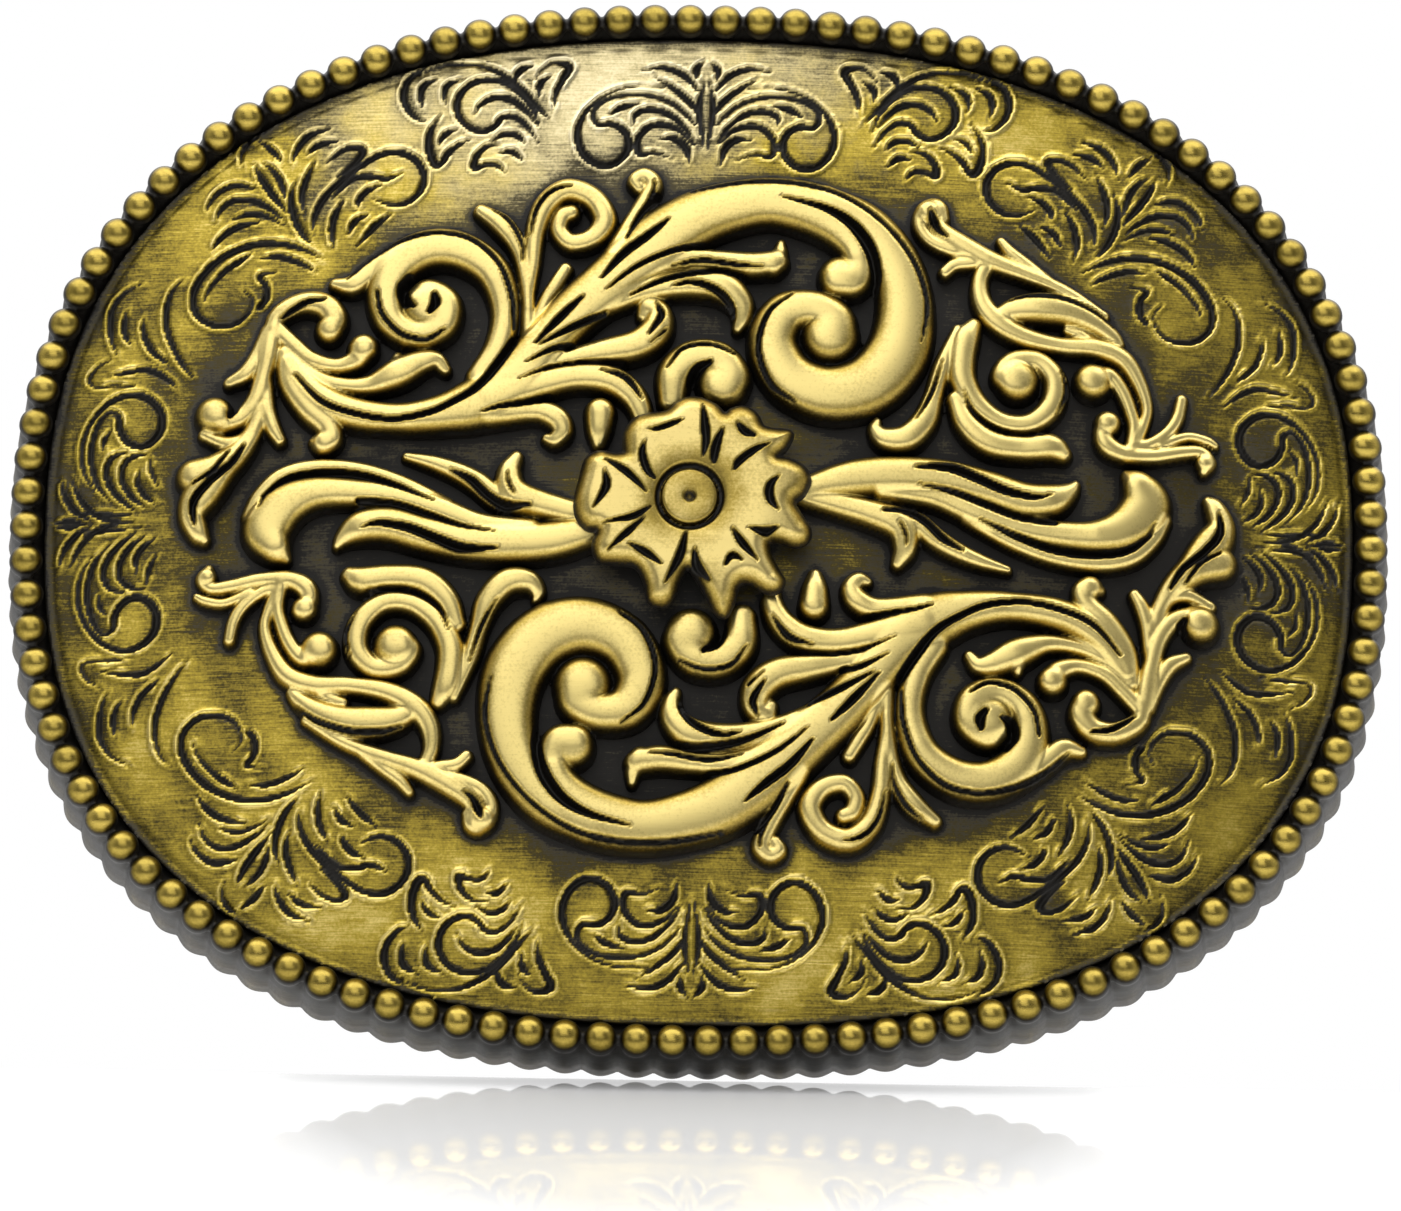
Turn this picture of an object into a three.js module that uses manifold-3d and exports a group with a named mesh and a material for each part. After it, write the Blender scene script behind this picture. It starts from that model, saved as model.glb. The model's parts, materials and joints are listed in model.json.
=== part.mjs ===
// Western oval belt buckle: domed face plate in a beaded rim, raised scrollwork, a riveted flower,
// and behind it a hinged bail loop and a fixed belt hook.
// Millimetres. The front faces -Y, +Z is up, +X is to the right as seen from the front.
// The origin is the centre of the buckle's bounding box.
import * as THREE from "three";
import { mergeVertices } from "three/addons/utils/BufferGeometryUtils.js";
import Module from "manifold-3d";

const wasm = await Module();
wasm.setup();

// Oval and shell
const RING_HALF_WIDTH = 47.9;
const RING_HALF_HEIGHT = 37.45;
const OVAL_POWER = 2.37;
const BEND = 0.0014; // the buckle bends round the body: y grows by BEND * x * x
const BEAD_PLANE = -1.57; // y of the bead centres where x is 0
const DOME_RISE = 3.0;
const EDGE_DROP = 0.6;
const PLATE_THICKNESS = 1.6;
const PLATE_INSET = 1.45; // from the bead centres in to the plate's edge
const PLATE_SIDES = 64;

// Rim
const BEAD_COUNT = 110;
const STEPS_PER_BEAD = 2;
const BEAD_RADIUS = 1.2;
const BEAD_GAP_DEPTH = 0.8 * BEAD_RADIUS;
const BEAD_FOOT = -0.2;
const RIM_INNER = -1.15;
const RIM_OUTER = 1.5;
const RIM_DEPTH = 5.6;
const FLUTE_DEPTH = 0.4;
const LEDGE_INNER = -2.3;
const LEDGE_TOP = -2.3;
const LEDGE_BOTTOM = -3.1;
const RIM_WALL = 1.45;

// Scrollwork
const SCROLL_HEIGHT = 1.8;
const SCROLL_SEAT = 0.1; // gap between the plate and the scrollwork that lies on it
const SCROLL_TOP_SHARE = 0.66; // width of a stroke's top as a share of its foot
const STUD_TOP_SHARE = 0.6;
const TURN_CENTRE = [0.54, 0.46]; // the lower scrollwork is the upper turned half round here
const STUD_SIDES = 8;

// Flower and its rivet
const FLOWER_CENTRE = [-0.7, 0.75];
const FLOWER_BOTTOM = 4.7;
const FLOWER_TOP = 6.2;
const PETAL_POINTS = 70;
const HUB_RADIUS = 2.9;
const RIVET_HEAD_RADIUS = 2.0;
const RIVET_HEAD_SEAT = 5.4;
const RIVET_SHANK_RADIUS = 1.2;
const RIVET_TAIL_RADIUS = 2.3;
const RIVET_TAIL_DEPTH = 0.8;
const RIVET_CLEARANCE = 0.3;
const RIVET_HOLE_SPAN = [-5, 10]; // heights well behind the plate and well in front of the flower
const RIVET_CHAMFER = 0.35;
const ROUND_SIDES = 24;

// Bail loop and its hinge
const HINGE_X = 20;
const HINGE_Y = 1.63;
const WIRE_RADIUS = 1.4;
const WIRE_SIDES = 8;
const BAIL_REACH = 13.2;
const BAIL_HALF_HEIGHT = 22.5;
const BAIL_PIN_END = 16;
const BAIL_CORNER = 3;
const BAIL_STEPS = 40;
const BAIL_REST_ANGLE = THREE.MathUtils.degToRad(8.5);
const LUG_CENTRE = 18.7;
const LUG_LENGTH = 3;
const LUG_EYE_RADIUS = 2.7;
const LUG_FOOT_HALF_WIDTH = 3.4;
const LUG_FOOT_DEPTH = 4.2; // past the plate's back, which trims it
const LUG_BORE_RADIUS = 1.52;
const LUG_SIDES = 16;
const FOOT_GAP = 0.1;
const FOOT_TRIM = 20; // a height in front of every foot

// Belt hook
const HOOK_X = -26;
const HOOK_PAD_FACE = 1.13;
const HOOK_PAD_DEPTH = 4; // past the plate's back, which trims it
const HOOK_PAD_RADIUS = 5;
const HOOK_PAD_STRETCH = 1.4;
const HOOK_RADIUS = 1.7;
const HOOK_LENGTH = 6.5;
const HOOK_KNOB_RADIUS = 2.1;
const HOOK_KNOB_CHAMFER = 0.7;
const HOOK_ROOT = 1; // how far the post runs down into the pad
const HOOK_LEAN = THREE.MathUtils.degToRad(15);

// Oval helpers ---------------------------------------------------------------------------------

// How far out a point is: 0 at the centre, 1 on the bead ring.
function reach(u, v) {
  const across = Math.abs(u / RING_HALF_WIDTH) ** OVAL_POWER;
  const up = Math.abs(v / RING_HALF_HEIGHT) ** OVAL_POWER;
  return (across + up) ** (1 / OVAL_POWER);
}

// Height of the plate's front face in front of the bead plane.
function dome(u, v) {
  return DOME_RISE * (1 - Math.min(reach(u, v), 1) ** 2) - EDGE_DROP;
}

// u to the right, v up and h towards the front, measured on the bent buckle.
function place(u, v, h) {
  return new THREE.Vector3(u, BEAD_PLANE + BEND * u * u - h, v);
}

// The bead ring as a table of points at equal arc lengths.
const RING_SAMPLES = 7200;
const ringTable = [];
let ringLength = 0;
for (let i = 0; i <= RING_SAMPLES; i++) {
  const turn = (2 * Math.PI * i) / RING_SAMPLES;
  const c = Math.cos(turn);
  const s = Math.sin(turn);
  const u = RING_HALF_WIDTH * Math.sign(c) * Math.abs(c) ** (2 / OVAL_POWER);
  const v = RING_HALF_HEIGHT * Math.sign(s) * Math.abs(s) ** (2 / OVAL_POWER);
  if (i > 0) {
    const last = ringTable[i - 1];
    ringLength += Math.hypot(u - last.u, v - last.v);
  }
  ringTable.push({ u, v, length: ringLength });
}

// The point a share of the way round the ring, moved outwards by offset.
function ringPoint(share, offset) {
  const wanted = (share - Math.floor(share)) * ringLength;
  let low = 0;
  let high = RING_SAMPLES;
  while (high - low > 1) {
    const middle = (low + high) >> 1;
    if (ringTable[middle].length > wanted) high = middle;
    else low = middle;
  }
  const a = ringTable[low];
  const b = ringTable[high];
  const part = (wanted - a.length) / (b.length - a.length);
  const u = a.u + part * (b.u - a.u);
  const v = a.v + part * (b.v - a.v);
  const nu = Math.sign(u) * Math.abs(u / RING_HALF_WIDTH) ** (OVAL_POWER - 1) / RING_HALF_WIDTH;
  const nv = Math.sign(v) * Math.abs(v / RING_HALF_HEIGHT) ** (OVAL_POWER - 1) / RING_HALF_HEIGHT;
  const size = Math.hypot(nu, nv);
  return [u + (offset * nu) / size, v + (offset * nv) / size];
}

// Solid helpers --------------------------------------------------------------------------------

// A closed geometry as a solid, each vertex first moved by bendPoint, with its faces turned outwards.
function solid(geometry, bendPoint) {
  const bare = geometry.clone();
  bare.deleteAttribute("normal");
  bare.deleteAttribute("uv");
  const merged = mergeVertices(bare, 1e-5);
  const spots = merged.attributes.position;
  const spot = new THREE.Vector3();
  for (let i = 0; i < spots.count && bendPoint; i++) {
    spot.fromBufferAttribute(spots, i);
    const moved = bendPoint(spot);
    spots.setXYZ(i, moved.x, moved.y, moved.z);
  }
  const welded = mergeVertices(merged, 1e-5);
  const positions = welded.attributes.position.array;
  const corners = Array.from(welded.index.array);
  let volume = 0;
  const [a, b, c] = [new THREE.Vector3(), new THREE.Vector3(), new THREE.Vector3()];
  const kept = [];
  for (let i = 0; i < corners.length; i += 3) {
    const [p, q, r] = corners.slice(i, i + 3);
    if (p === q || q === r || r === p) continue;
    kept.push(p, q, r);
    a.fromArray(positions, 3 * p);
    b.fromArray(positions, 3 * q);
    c.fromArray(positions, 3 * r);
    volume += a.dot(b.cross(c));
  }
  if (volume < 0) kept.reverse();
  const mesh = { numProp: 3, vertProperties: positions, triVerts: new Uint32Array(kept) };
  return new wasm.Manifold(new wasm.Mesh(mesh));
}

function joined(solids) {
  return solids.reduce((whole, piece) => whole.add(piece));
}

const group = new THREE.Group();

// Adds a solid to the buckle as a named mesh.
function addPart(name, shape, material) {
  const mesh = shape.getMesh();
  const geometry = new THREE.BufferGeometry();
  const spots = new Float32Array(mesh.vertProperties);
  geometry.setAttribute("position", new THREE.BufferAttribute(spots, 3));
  geometry.setIndex(new THREE.BufferAttribute(new Uint32Array(mesh.triVerts), 1));
  geometry.computeVertexNormals();
  const part = new THREE.Mesh(geometry, material);
  part.name = name;
  group.add(part);
}

// A lathe profile of [radius, height] pairs, revolved about Y.
function turned(profile, sides) {
  return new THREE.LatheGeometry(profile.map(([r, y]) => new THREE.Vector2(r, y)), sides);
}

// Materials ------------------------------------------------------------------------------------

const metal = (color, roughness) => new THREE.MeshStandardMaterial({ color, roughness, metalness: 1 });
const plateBrass = metal(0x9c8a55, 0.45);
const rimBrass = metal(0xa98f3c, 0.4);
const scrollBrass = metal(0xd9c377, 0.35);
const flowerBrass = metal(0xd8c06a, 0.35);
const backBrass = metal(0x7c6b3e, 0.5);
const wireSteel = metal(0x8f8a80, 0.3);

// Face plate -----------------------------------------------------------------------------------

// The space between two heights off the plate's front face, out to inset inside the bead ring.
function shell(front, back, inset) {
  const rings = [0, 0.35, 0.65, 0.86, 1];
  const frontLine = rings.map((share) => [share, front]);
  const backLine = rings.map((share) => [share, back]).reverse();
  const profile = frontLine.concat(backLine);
  return solid(turned(profile, PLATE_SIDES), ({ x, y, z }) => {
    const share = Math.hypot(x, z);
    const [u, v] = ringPoint(Math.atan2(x, z) / (2 * Math.PI), -inset);
    return place(share * u, share * v, dome(share * u, share * v) + y);
  });
}

// A cylinder through the flower's centre, from one height to another.
function flowerCylinder(radius, low, high) {
  const profile = [[0, low], [radius, low], [radius, high], [0, high]];
  return solid(turned(profile, ROUND_SIDES), flowerPlace);
}

function flowerPlace({ x, y, z }) {
  const [u, v] = FLOWER_CENTRE;
  return new THREE.Vector3(u + x, BEAD_PLANE - y, v + z);
}

const rivetHole = flowerCylinder(RIVET_SHANK_RADIUS + RIVET_CLEARANCE, ...RIVET_HOLE_SPAN);
const facePlate = shell(0, -PLATE_THICKNESS, PLATE_INSET).subtract(rivetHole);
addPart("face_plate", facePlate, plateBrass);

// Beaded rim -----------------------------------------------------------------------------------

// The section is [offset from the bead centres, height]; the beads lift its top and push its side out.
function beadedRim() {
  const spread = 100; // lathe radius of the bead centres; the ring is round before it takes its oval
  const section = [
    [RIM_INNER, LEDGE_TOP],
    [RIM_INNER, BEAD_FOOT],
    [0, BEAD_RADIUS],
    [BEAD_RADIUS, BEAD_FOOT / 2],
    [RIM_OUTER, -RIM_DEPTH],
    [RIM_OUTER - RIM_WALL, -RIM_DEPTH],
    [RIM_OUTER - RIM_WALL, LEDGE_BOTTOM],
    [LEDGE_INNER, LEDGE_BOTTOM],
    [LEDGE_INNER, LEDGE_TOP],
  ];
  const profile = section.concat([section[0]]).map(([offset, h]) => [spread + offset, h]);
  return solid(turned(profile, BEAD_COUNT * STEPS_PER_BEAD), ({ x, y, z }) => {
    const share = Math.atan2(x, z) / (2 * Math.PI);
    const swell = Math.abs(Math.cos(Math.PI * BEAD_COUNT * share));
    let offset = Math.hypot(x, z) - spread;
    let h = y;
    if (offset > BEAD_RADIUS / 2) offset -= FLUTE_DEPTH * (1 - swell);
    if (h > BEAD_RADIUS / 2) h -= BEAD_GAP_DEPTH * (1 - swell);
    const [u, v] = ringPoint(share, offset);
    return place(u, v, h);
  });
}
addPart("beaded_rim", beadedRim(), rimBrass);

// Scrollwork -----------------------------------------------------------------------------------

// Each stroke is a spine of [u, v, half width] points.
const MAIN_SCROLL = {
  volute: [
    [-15.8, 10, 0.75], [-14.5, 12.3, 0.8], [-14.1, 15, 0.85], [-15, 17.8, 1.1], [-17.2, 19.4, 1.25],
    [-19.6, 19.6, 1.3], [-21.7, 18.4, 1.3], [-22.6, 16.2, 1.15], [-22.1, 14.2, 1], [-20.4, 13.2, 0.9],
    [-18.6, 13.8, 1], [-18.3, 15.4, 1], [-19.5, 16.4, 0.8],
  ],
  voluteTail: [[-21.4, 19.4, 0.8], [-23.3, 18.3, 0.65], [-24.9, 17, 0.6], [-26.2, 17.1, 0.25]],
  curl: [[-30.6, 14, 0.4], [-30, 15, 0.55], [-28.5, 15.7, 0.65], [-27, 15.5, 0.75], [-26.3, 14.2, 0.8]],
  curlFoot: [
    [-30.3, 13.8, 0.5], [-29.1, 12.6, 0.5], [-27.8, 11.5, 0.48], [-26, 11, 0.42], [-24.4, 11.6, 0.6],
  ],
  wave: [
    [-29.6, 12, 0.4], [-27.9, 10.4, 0.45], [-25.8, 9.6, 0.4], [-23.6, 9.5, 0.55], [-21.6, 10.3, 0.95],
    [-20, 11.1, 0.75], [-18.2, 10.6, 0.25],
  ],
  blade: [[-31, 13.7, 0.3], [-31.6, 12, 0.38], [-32.4, 10.6, 0.45], [-33.6, 9.9, 0.25]],
  stalk: [
    [-30.5, 14.6, 0.4], [-30.8, 12.5, 0.6], [-31.2, 10.4, 0.5], [-31.7, 8.6, 0.5], [-34, 6.9, 0.6],
  ],
  stalkUnder: [[-31.2, 8, 0.4], [-32.2, 5.9, 0.4], [-33.6, 5.4, 0.4], [-35.3, 6.1, 0.25]],
  leafA: [[-31.3, 7, 0.3], [-32.5, 5, 0.65], [-34.2, 3.5, 1.05], [-35.9, 3, 1.1]],
  leafB: [[-33.6, 3.8, 0.8], [-35.2, 1.9, 1.2], [-36, 0.4, 0.85], [-35.1, -1.6, 0.25]],
  finger: [[-31, 10.2, 0.3], [-30.8, 7.9, 0.4], [-29.9, 5.6, 0.3]],
  prong: [
    [-29.8, 12, 0.4], [-29.2, 9.8, 0.7], [-27.9, 7.9, 0.8], [-26.6, 6.6, 0.7], [-26.2, 5.4, 0.65],
  ],
  trunk: [
    [-29.4, 11.2, 0.6], [-27.4, 8.8, 0.9], [-24.7, 7.4, 1], [-21.2, 7, 0.95], [-18, 7.4, 1.3],
    [-15.4, 8.3, 1.8], [-13.2, 9.9, 1.6], [-11.4, 12.2, 1.5], [-9, 14.9, 1.6], [-6.3, 17.4, 1.8],
    [-3.6, 19.9, 2], [-1, 21.8, 1.9], [1.8, 22.9, 1.75], [4.8, 23.4, 1.65], [8, 22.8, 1.8],
    [10.3, 21.2, 1.5], [11.1, 19.2, 1], [10.4, 17.6, 1.05],
  ],
  bigVolute: [
    [8.5, 23.6, 1], [11.6, 21.9, 1.3], [13.6, 19.1, 1.6], [14.4, 15.8, 1.8], [13.9, 12.4, 2],
    [11.9, 9.9, 2], [9, 9.1, 1.85], [6.3, 10.2, 1.7], [5, 12.7, 1.55], [5.8, 14.9, 1.4],
    [7.8, 15.4, 1.2], [9.3, 14.2, 1.3],
  ],
  stemCurl: [
    [-12.4, 13.2, 0.35], [-12.4, 16.2, 0.32], [-12.15, 18.6, 0.42], [-12, 21, 0.55], [-11.3, 23, 0.65],
    [-9.8, 24.1, 0.7], [-8, 23.5, 0.68], [-7.1, 21.9, 0.7], [-7.9, 20.5, 0.6], [-9.4, 20.1, 0.55],
    [-10.3, 21, 0.5], [-9.9, 22.3, 0.45],
  ],
  stemLeaf: [[-9.8, 18.1, 0.35], [-10.5, 16.9, 0.38], [-11.2, 15.7, 0.32], [-12, 13.4, 0.3]],
  sideLeaf: [
    [-15.9, 22.5, 0.35], [-14.4, 21.4, 0.65], [-13.3, 19.8, 0.5], [-12.8, 18, 0.35], [-12.4, 15.2, 0.3],
  ],
  topCurl: [
    [-6.4, 19.4, 0.5], [-5.2, 21.5, 0.5], [-4.2, 23.3, 0.5], [-3.8, 24.7, 0.5], [-4.9, 25, 0.4],
  ],
  leafC: [
    [-8, 15.7, 0.8], [-5, 17.6, 0.85], [-2, 18.9, 0.75], [1, 18.9, 0.62], [3.5, 18.6, 0.8],
    [5.4, 19.2, 0.6],
  ],
  leafD: [
    [-7.6, 15, 0.6], [-4.5, 16.4, 0.75], [-1.5, 17, 0.85], [1.2, 16.9, 1], [2.7, 15.4, 0.7],
    [2.5, 13.8, 0.2],
  ],
  leafE: [
    [-12.8, 10.4, 0.7], [-9.6, 11.3, 0.6], [-6.8, 11.9, 0.85], [-4.6, 12.4, 1], [-3.3, 13.5, 1],
    [-3.2, 14.9, 0.7], [-4.2, 15.1, 0.5],
  ],
  lowerArch: [
    [-14.8, 8.4, 1.1], [-11.6, 9.4, 0.95], [-8.8, 10, 0.85], [-6.5, 9.8, 0.9], [-4.9, 8.7, 0.8],
    [-4.3, 6.6, 0.4],
  ],
  lowerHook: [
    [-15, 7.3, 0.9], [-11.8, 7.5, 0.68], [-10.3, 7, 0.72], [-9.8, 6.1, 0.6], [-10.5, 5.4, 0.4],
  ],
};
const WING = {
  loopRight: [
    [16.5, 22.9, 0.5], [16.9, 21.7, 0.5], [18.3, 20.7, 0.6], [20.5, 19.5, 0.6], [23, 18.6, 0.45],
    [28.6, 15.8, 0.2],
  ],
  loopLeft: [
    [16.8, 23.3, 0.35], [15.7, 23.2, 0.35], [15.4, 21.9, 0.38], [16.1, 20.9, 0.38], [19, 20, 0.4],
  ],
  fin: [[21.2, 21, 0.2], [21.9, 20.2, 0.32], [24.6, 18.2, 0.25]],
  barb: [[17.2, 18.5, 0.3], [17.9, 19.1, 0.35], [20.2, 19.6, 0.45]],
  hoop: [
    [20.2, 19.3, 0.4], [19.7, 17.9, 0.45], [19.9, 16.3, 0.6], [21, 14.9, 0.7], [22.9, 13.9, 0.62],
    [25.5, 13.4, 0.5], [28.2, 13.3, 0.6], [30, 12.6, 0.55], [31.1, 11, 0.4], [31.7, 9.2, 0.28],
    [31, 6.5, 0.3],
  ],
  domeLeaf: [
    [21.2, 15.2, 0.5], [22.4, 16, 0.7], [24.2, 16.3, 0.75], [26.2, 16.1, 0.65], [27.9, 15.4, 0.5],
    [29.7, 13.8, 0.2],
  ],
  sprig: [[26, 14.6, 0.22], [26.9, 14.3, 0.3], [28, 13.6, 0.3]],
  ballStem: [
    [28, 11, 0.6], [29.1, 11.2, 0.45], [29.9, 10.3, 0.4], [30.5, 8.9, 0.35], [30.6, 5.9, 0.35],
  ],
  hook: [
    [29.1, 7.9, 0.55], [28.6, 7.2, 0.5], [28.9, 6.2, 0.6], [30.2, 5.6, 0.5], [32.2, 5.6, 0.4],
    [34.2, 6, 0.36], [35.6, 6.1, 0.3], [36.3, 5.4, 0.25], [35.8, 4.7, 0.18],
  ],
  spike: [[34.2, 9.9, 0.25], [33.9, 8.5, 0.3], [33.2, 7.4, 0.3], [30.8, 6.1, 0.35]],
  thorn: [[32.7, 6.6, 0.25], [34.6, 7.2, 0.2], [36.6, 6.7, 0.12]],
};
const COIL = {
  coil: [
    [19.3, 14.6, 0.4], [18.8, 13.6, 0.75], [18.5, 12, 0.8], [18.6, 10.4, 0.8], [19.6, 8.7, 0.7],
    [21.4, 7.5, 0.6], [23.4, 7.5, 0.62], [24.9, 8.9, 0.7], [25.1, 10.8, 0.7], [23.9, 12.1, 0.62],
    [22.2, 12, 0.65], [21.4, 10.9, 0.75], [22, 9.8, 0.55], [22.9, 9, 0.35],
  ],
  cradle: [
    [18.1, 9.2, 0.5], [18.9, 7.2, 0.75], [20.5, 5.9, 0.85], [22.8, 5.6, 0.8], [24.8, 5.8, 0.85],
    [25.7, 5.4, 0.5],
  ],
  comma: [
    [18.2, 14.2, 0.3], [17.1, 11.4, 0.5], [16.5, 9.3, 0.5], [15.9, 7.4, 0.75], [14.6, 6, 0.85],
    [13.1, 5.9, 0.68], [12.5, 7, 0.2],
  ],
};
const BAND = {
  sail: [
    [7.2, 1.9, 0.7], [11, 2.9, 1.2], [14.5, 3.2, 1.25], [17.5, 3.1, 1.2], [20.5, 2.5, 1.15],
    [23, 1.8, 1.15], [25, 1.9, 1], [26.7, 3.2, 0.15],
  ],
  crook: [
    [13, 2.2, 0.7], [16.5, 1.8, 0.7], [19.5, 0.7, 0.8], [22.5, -0.2, 0.8], [25.5, -0.6, 0.85],
    [28.3, -0.6, 1.05], [30.4, 0.2, 1.3], [31.7, 1.8, 1.4], [31.2, 3.2, 0.9], [30.3, 4.1, 0.2],
  ],
  keel: [
    [19, 0.3, 0.4], [22.5, -1.4, 0.45], [25.5, -2.3, 0.5], [28.5, -2.5, 0.5], [30.8, -1.9, 0.5],
    [32.6, 0.2, 0.45],
  ],
  fluke: [[7.4, 1.5, 0.6], [12, 0.4, 0.85], [14.2, -0.5, 0.95], [14.6, -2, 0.7], [14.1, -3.2, 0.3]],
  flukeTail: [
    [13.6, 0.3, 0.6], [15.4, -0.2, 0.65], [16.8, -1.3, 0.65], [20, -2.8, 0.4], [21.9, -3.3, 0.15],
  ],
};
const CROWN_CURL = {
  crown: [[-2.1, 8.4, 0.8], [-1.9, 10.3, 1.1], [-0.6, 11.5, 1.15], [1.1, 11.4, 1.2], [2.1, 10, 1.3]],
};
const DROP = { drop: [[-7.15, 7.6, 0.8], [-7.2, 6.2, 0.72], [-7.2, 5.2, 0.35]] };

// Round ends of strokes, as [u, v, radius].
const STUDS = {
  main: [
    [-19.6, 15.2, 1.6], [-26.5, 13.7, 0.85], [-24.1, 12.2, 0.9], [-34.6, 7.5, 1.15], [-26.7, 5.3, 0.72],
    [9.8, 17.8, 1.4], [9.1, 13.4, 1.8],
  ],
  wing: [[27.8, 10.8, 1.15]],
  crown: [[1.5, 9.6, 1.6]],
};

// A stroke of scrollwork: a bar along its spine that follows the plate, narrower at the top.
function stroke(spine, twin) {
  const points = spine.map(([u, v, width]) => new THREE.Vector3(...twinned(u, v, twin), width));
  const curve = new THREE.CatmullRomCurve3(points, false, "catmullrom");
  const steps = spine.length - 1;
  return solid(new THREE.BoxGeometry(1, 1, 1, 1, 1, steps), ({ x, y, z }) => {
    const along = z + 0.5;
    const spot = curve.getPoint(along);
    const ahead = curve.getPoint(Math.min(along + 0.001, 1));
    const behind = curve.getPoint(Math.max(along - 0.001, 0));
    const way = new THREE.Vector2(ahead.x - behind.x, ahead.y - behind.y).normalize();
    const isTop = y > 0;
    const aside = 2 * x * spot.z * (isTop ? SCROLL_TOP_SHARE : 1);
    const u = spot.x - aside * way.y;
    const v = spot.y + aside * way.x;
    return place(u, v, dome(u, v) + (isTop ? SCROLL_HEIGHT : SCROLL_SEAT));
  });
}

// The same point on the lower scrollwork where twin is true.
function twinned(u, v, twin) {
  return twin ? [2 * TURN_CENTRE[0] - u, 2 * TURN_CENTRE[1] - v] : [u, v];
}

function stud([u, v, radius], twin) {
  const [cu, cv] = twinned(u, v, twin);
  const profile = [
    [0, SCROLL_SEAT],
    [radius, SCROLL_SEAT],
    [radius, STUD_TOP_SHARE * SCROLL_HEIGHT],
    [STUD_TOP_SHARE * radius, SCROLL_HEIGHT],
    [0, SCROLL_HEIGHT],
  ];
  return solid(turned(profile, STUD_SIDES), ({ x, y, z }) => {
    const u = cu + x;
    const v = cv + z;
    return place(u, v, dome(u, v) + y);
  });
}

// One island of scrollwork, in the upper place and turned half round to the lower.
function addIslands(upperName, lowerName, strokes, studs = []) {
  for (const [name, twin] of [[upperName, false], [lowerName, true]]) {
    const bars = Object.values(strokes).map((spine) => stroke(spine, twin));
    const rounds = studs.map((round) => stud(round, twin));
    addPart(name, joined(bars.concat(rounds)), scrollBrass);
  }
}
addIslands("upper_main_scroll", "lower_main_scroll", MAIN_SCROLL, STUDS.main);
addIslands("upper_right_wing", "lower_left_wing", WING, STUDS.wing);
addIslands("upper_right_coil", "lower_left_coil", COIL);
addIslands("right_band", "left_band", BAND);
addIslands("upper_crown_curl", "lower_crown_curl", CROWN_CURL, STUDS.crown);
addIslands("upper_drop", "lower_drop", DROP);

// Flower and rivet -----------------------------------------------------------------------------

// Petal outline, clockwise from the top petal; a smooth closed curve runs through it.
const PETAL_OUTLINE = [
  [-0.9, 7.8], [0.3, 7.7], [1.6, 6.3], [2.5, 7.25], [3.6, 7], [4.5, 5.9], [6.3, 5.9], [5.5, 4.1],
  [7, 2.9], [7.2, 1.9], [6.35, 0.7], [7.6, -1], [7.1, -2.1], [5.2, -2.1], [5.9, -4.3], [5.1, -5.6],
  [3, -4.7], [2.4, -6.2], [2.1, -7.9], [0.3, -5.6], [-0.8, -4.3], [-1.8, -6.1], [-2.8, -6.7],
  [-4, -4.5], [-6.4, -4.1], [-7.3, -3.1], [-6.7, -1.8], [-8.2, -1], [-8.4, 0.7], [-7.6, 3.4],
  [-6.9, 3.8], [-5.3, 3.5], [-5.3, 5.2], [-4.3, 6.5], [-2.5, 6.4],
];
function flower() {
  const knots = PETAL_OUTLINE.map(([u, v]) => new THREE.Vector3(u, v, 0));
  const rim = new THREE.CatmullRomCurve3(knots, true, "catmullrom").getPoints(PETAL_POINTS);
  rim.pop(); // the closed curve gives its first point again at the end
  const outline = new THREE.Shape(rim.map(({ x, y }) => new THREE.Vector2(x, y)));
  const depth = FLOWER_TOP - FLOWER_BOTTOM;
  const petals = new THREE.ExtrudeGeometry(outline, { depth, bevelEnabled: false });
  const sheet = solid(petals, ({ x, y, z }) => new THREE.Vector3(x, BEAD_PLANE - FLOWER_BOTTOM - z, y));
  const hubBottom = dome(...FLOWER_CENTRE) + SCROLL_SEAT;
  const hub = flowerCylinder(HUB_RADIUS, hubBottom, FLOWER_BOTTOM + depth / 2);
  const seatTop = RIVET_HOLE_SPAN[1];
  const seat = flowerCylinder(RIVET_HEAD_RADIUS + RIVET_CLEARANCE, RIVET_HEAD_SEAT, seatTop);
  return sheet.add(hub).subtract(seat).subtract(rivetHole);
}
addPart("flower", flower(), flowerBrass);

function flowerRivet() {
  const plateBack = dome(...FLOWER_CENTRE) - PLATE_THICKNESS;
  const tailTop = plateBack - RIVET_CLEARANCE;
  const headBottom = RIVET_HEAD_SEAT + SCROLL_SEAT;
  const profile = [
    [0, FLOWER_TOP],
    [RIVET_HEAD_RADIUS - RIVET_CHAMFER, FLOWER_TOP],
    [RIVET_HEAD_RADIUS, FLOWER_TOP - RIVET_CHAMFER],
    [RIVET_HEAD_RADIUS, headBottom],
    [RIVET_SHANK_RADIUS, headBottom],
    [RIVET_SHANK_RADIUS, tailTop],
    [RIVET_TAIL_RADIUS, tailTop],
    [RIVET_TAIL_RADIUS - RIVET_CHAMFER, tailTop - RIVET_TAIL_DEPTH],
    [0, tailTop - RIVET_TAIL_DEPTH],
  ];
  return solid(turned(profile, ROUND_SIDES), flowerPlace);
}
addPart("flower_rivet", flowerRivet(), flowerBrass);

// Bail loop and hinge lugs ---------------------------------------------------------------------

// Everything in front of the plate's back: it trims the feet that stand there.
const frontSide = shell(FOOT_TRIM, -PLATE_THICKNESS - FOOT_GAP, PLATE_INSET);

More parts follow.
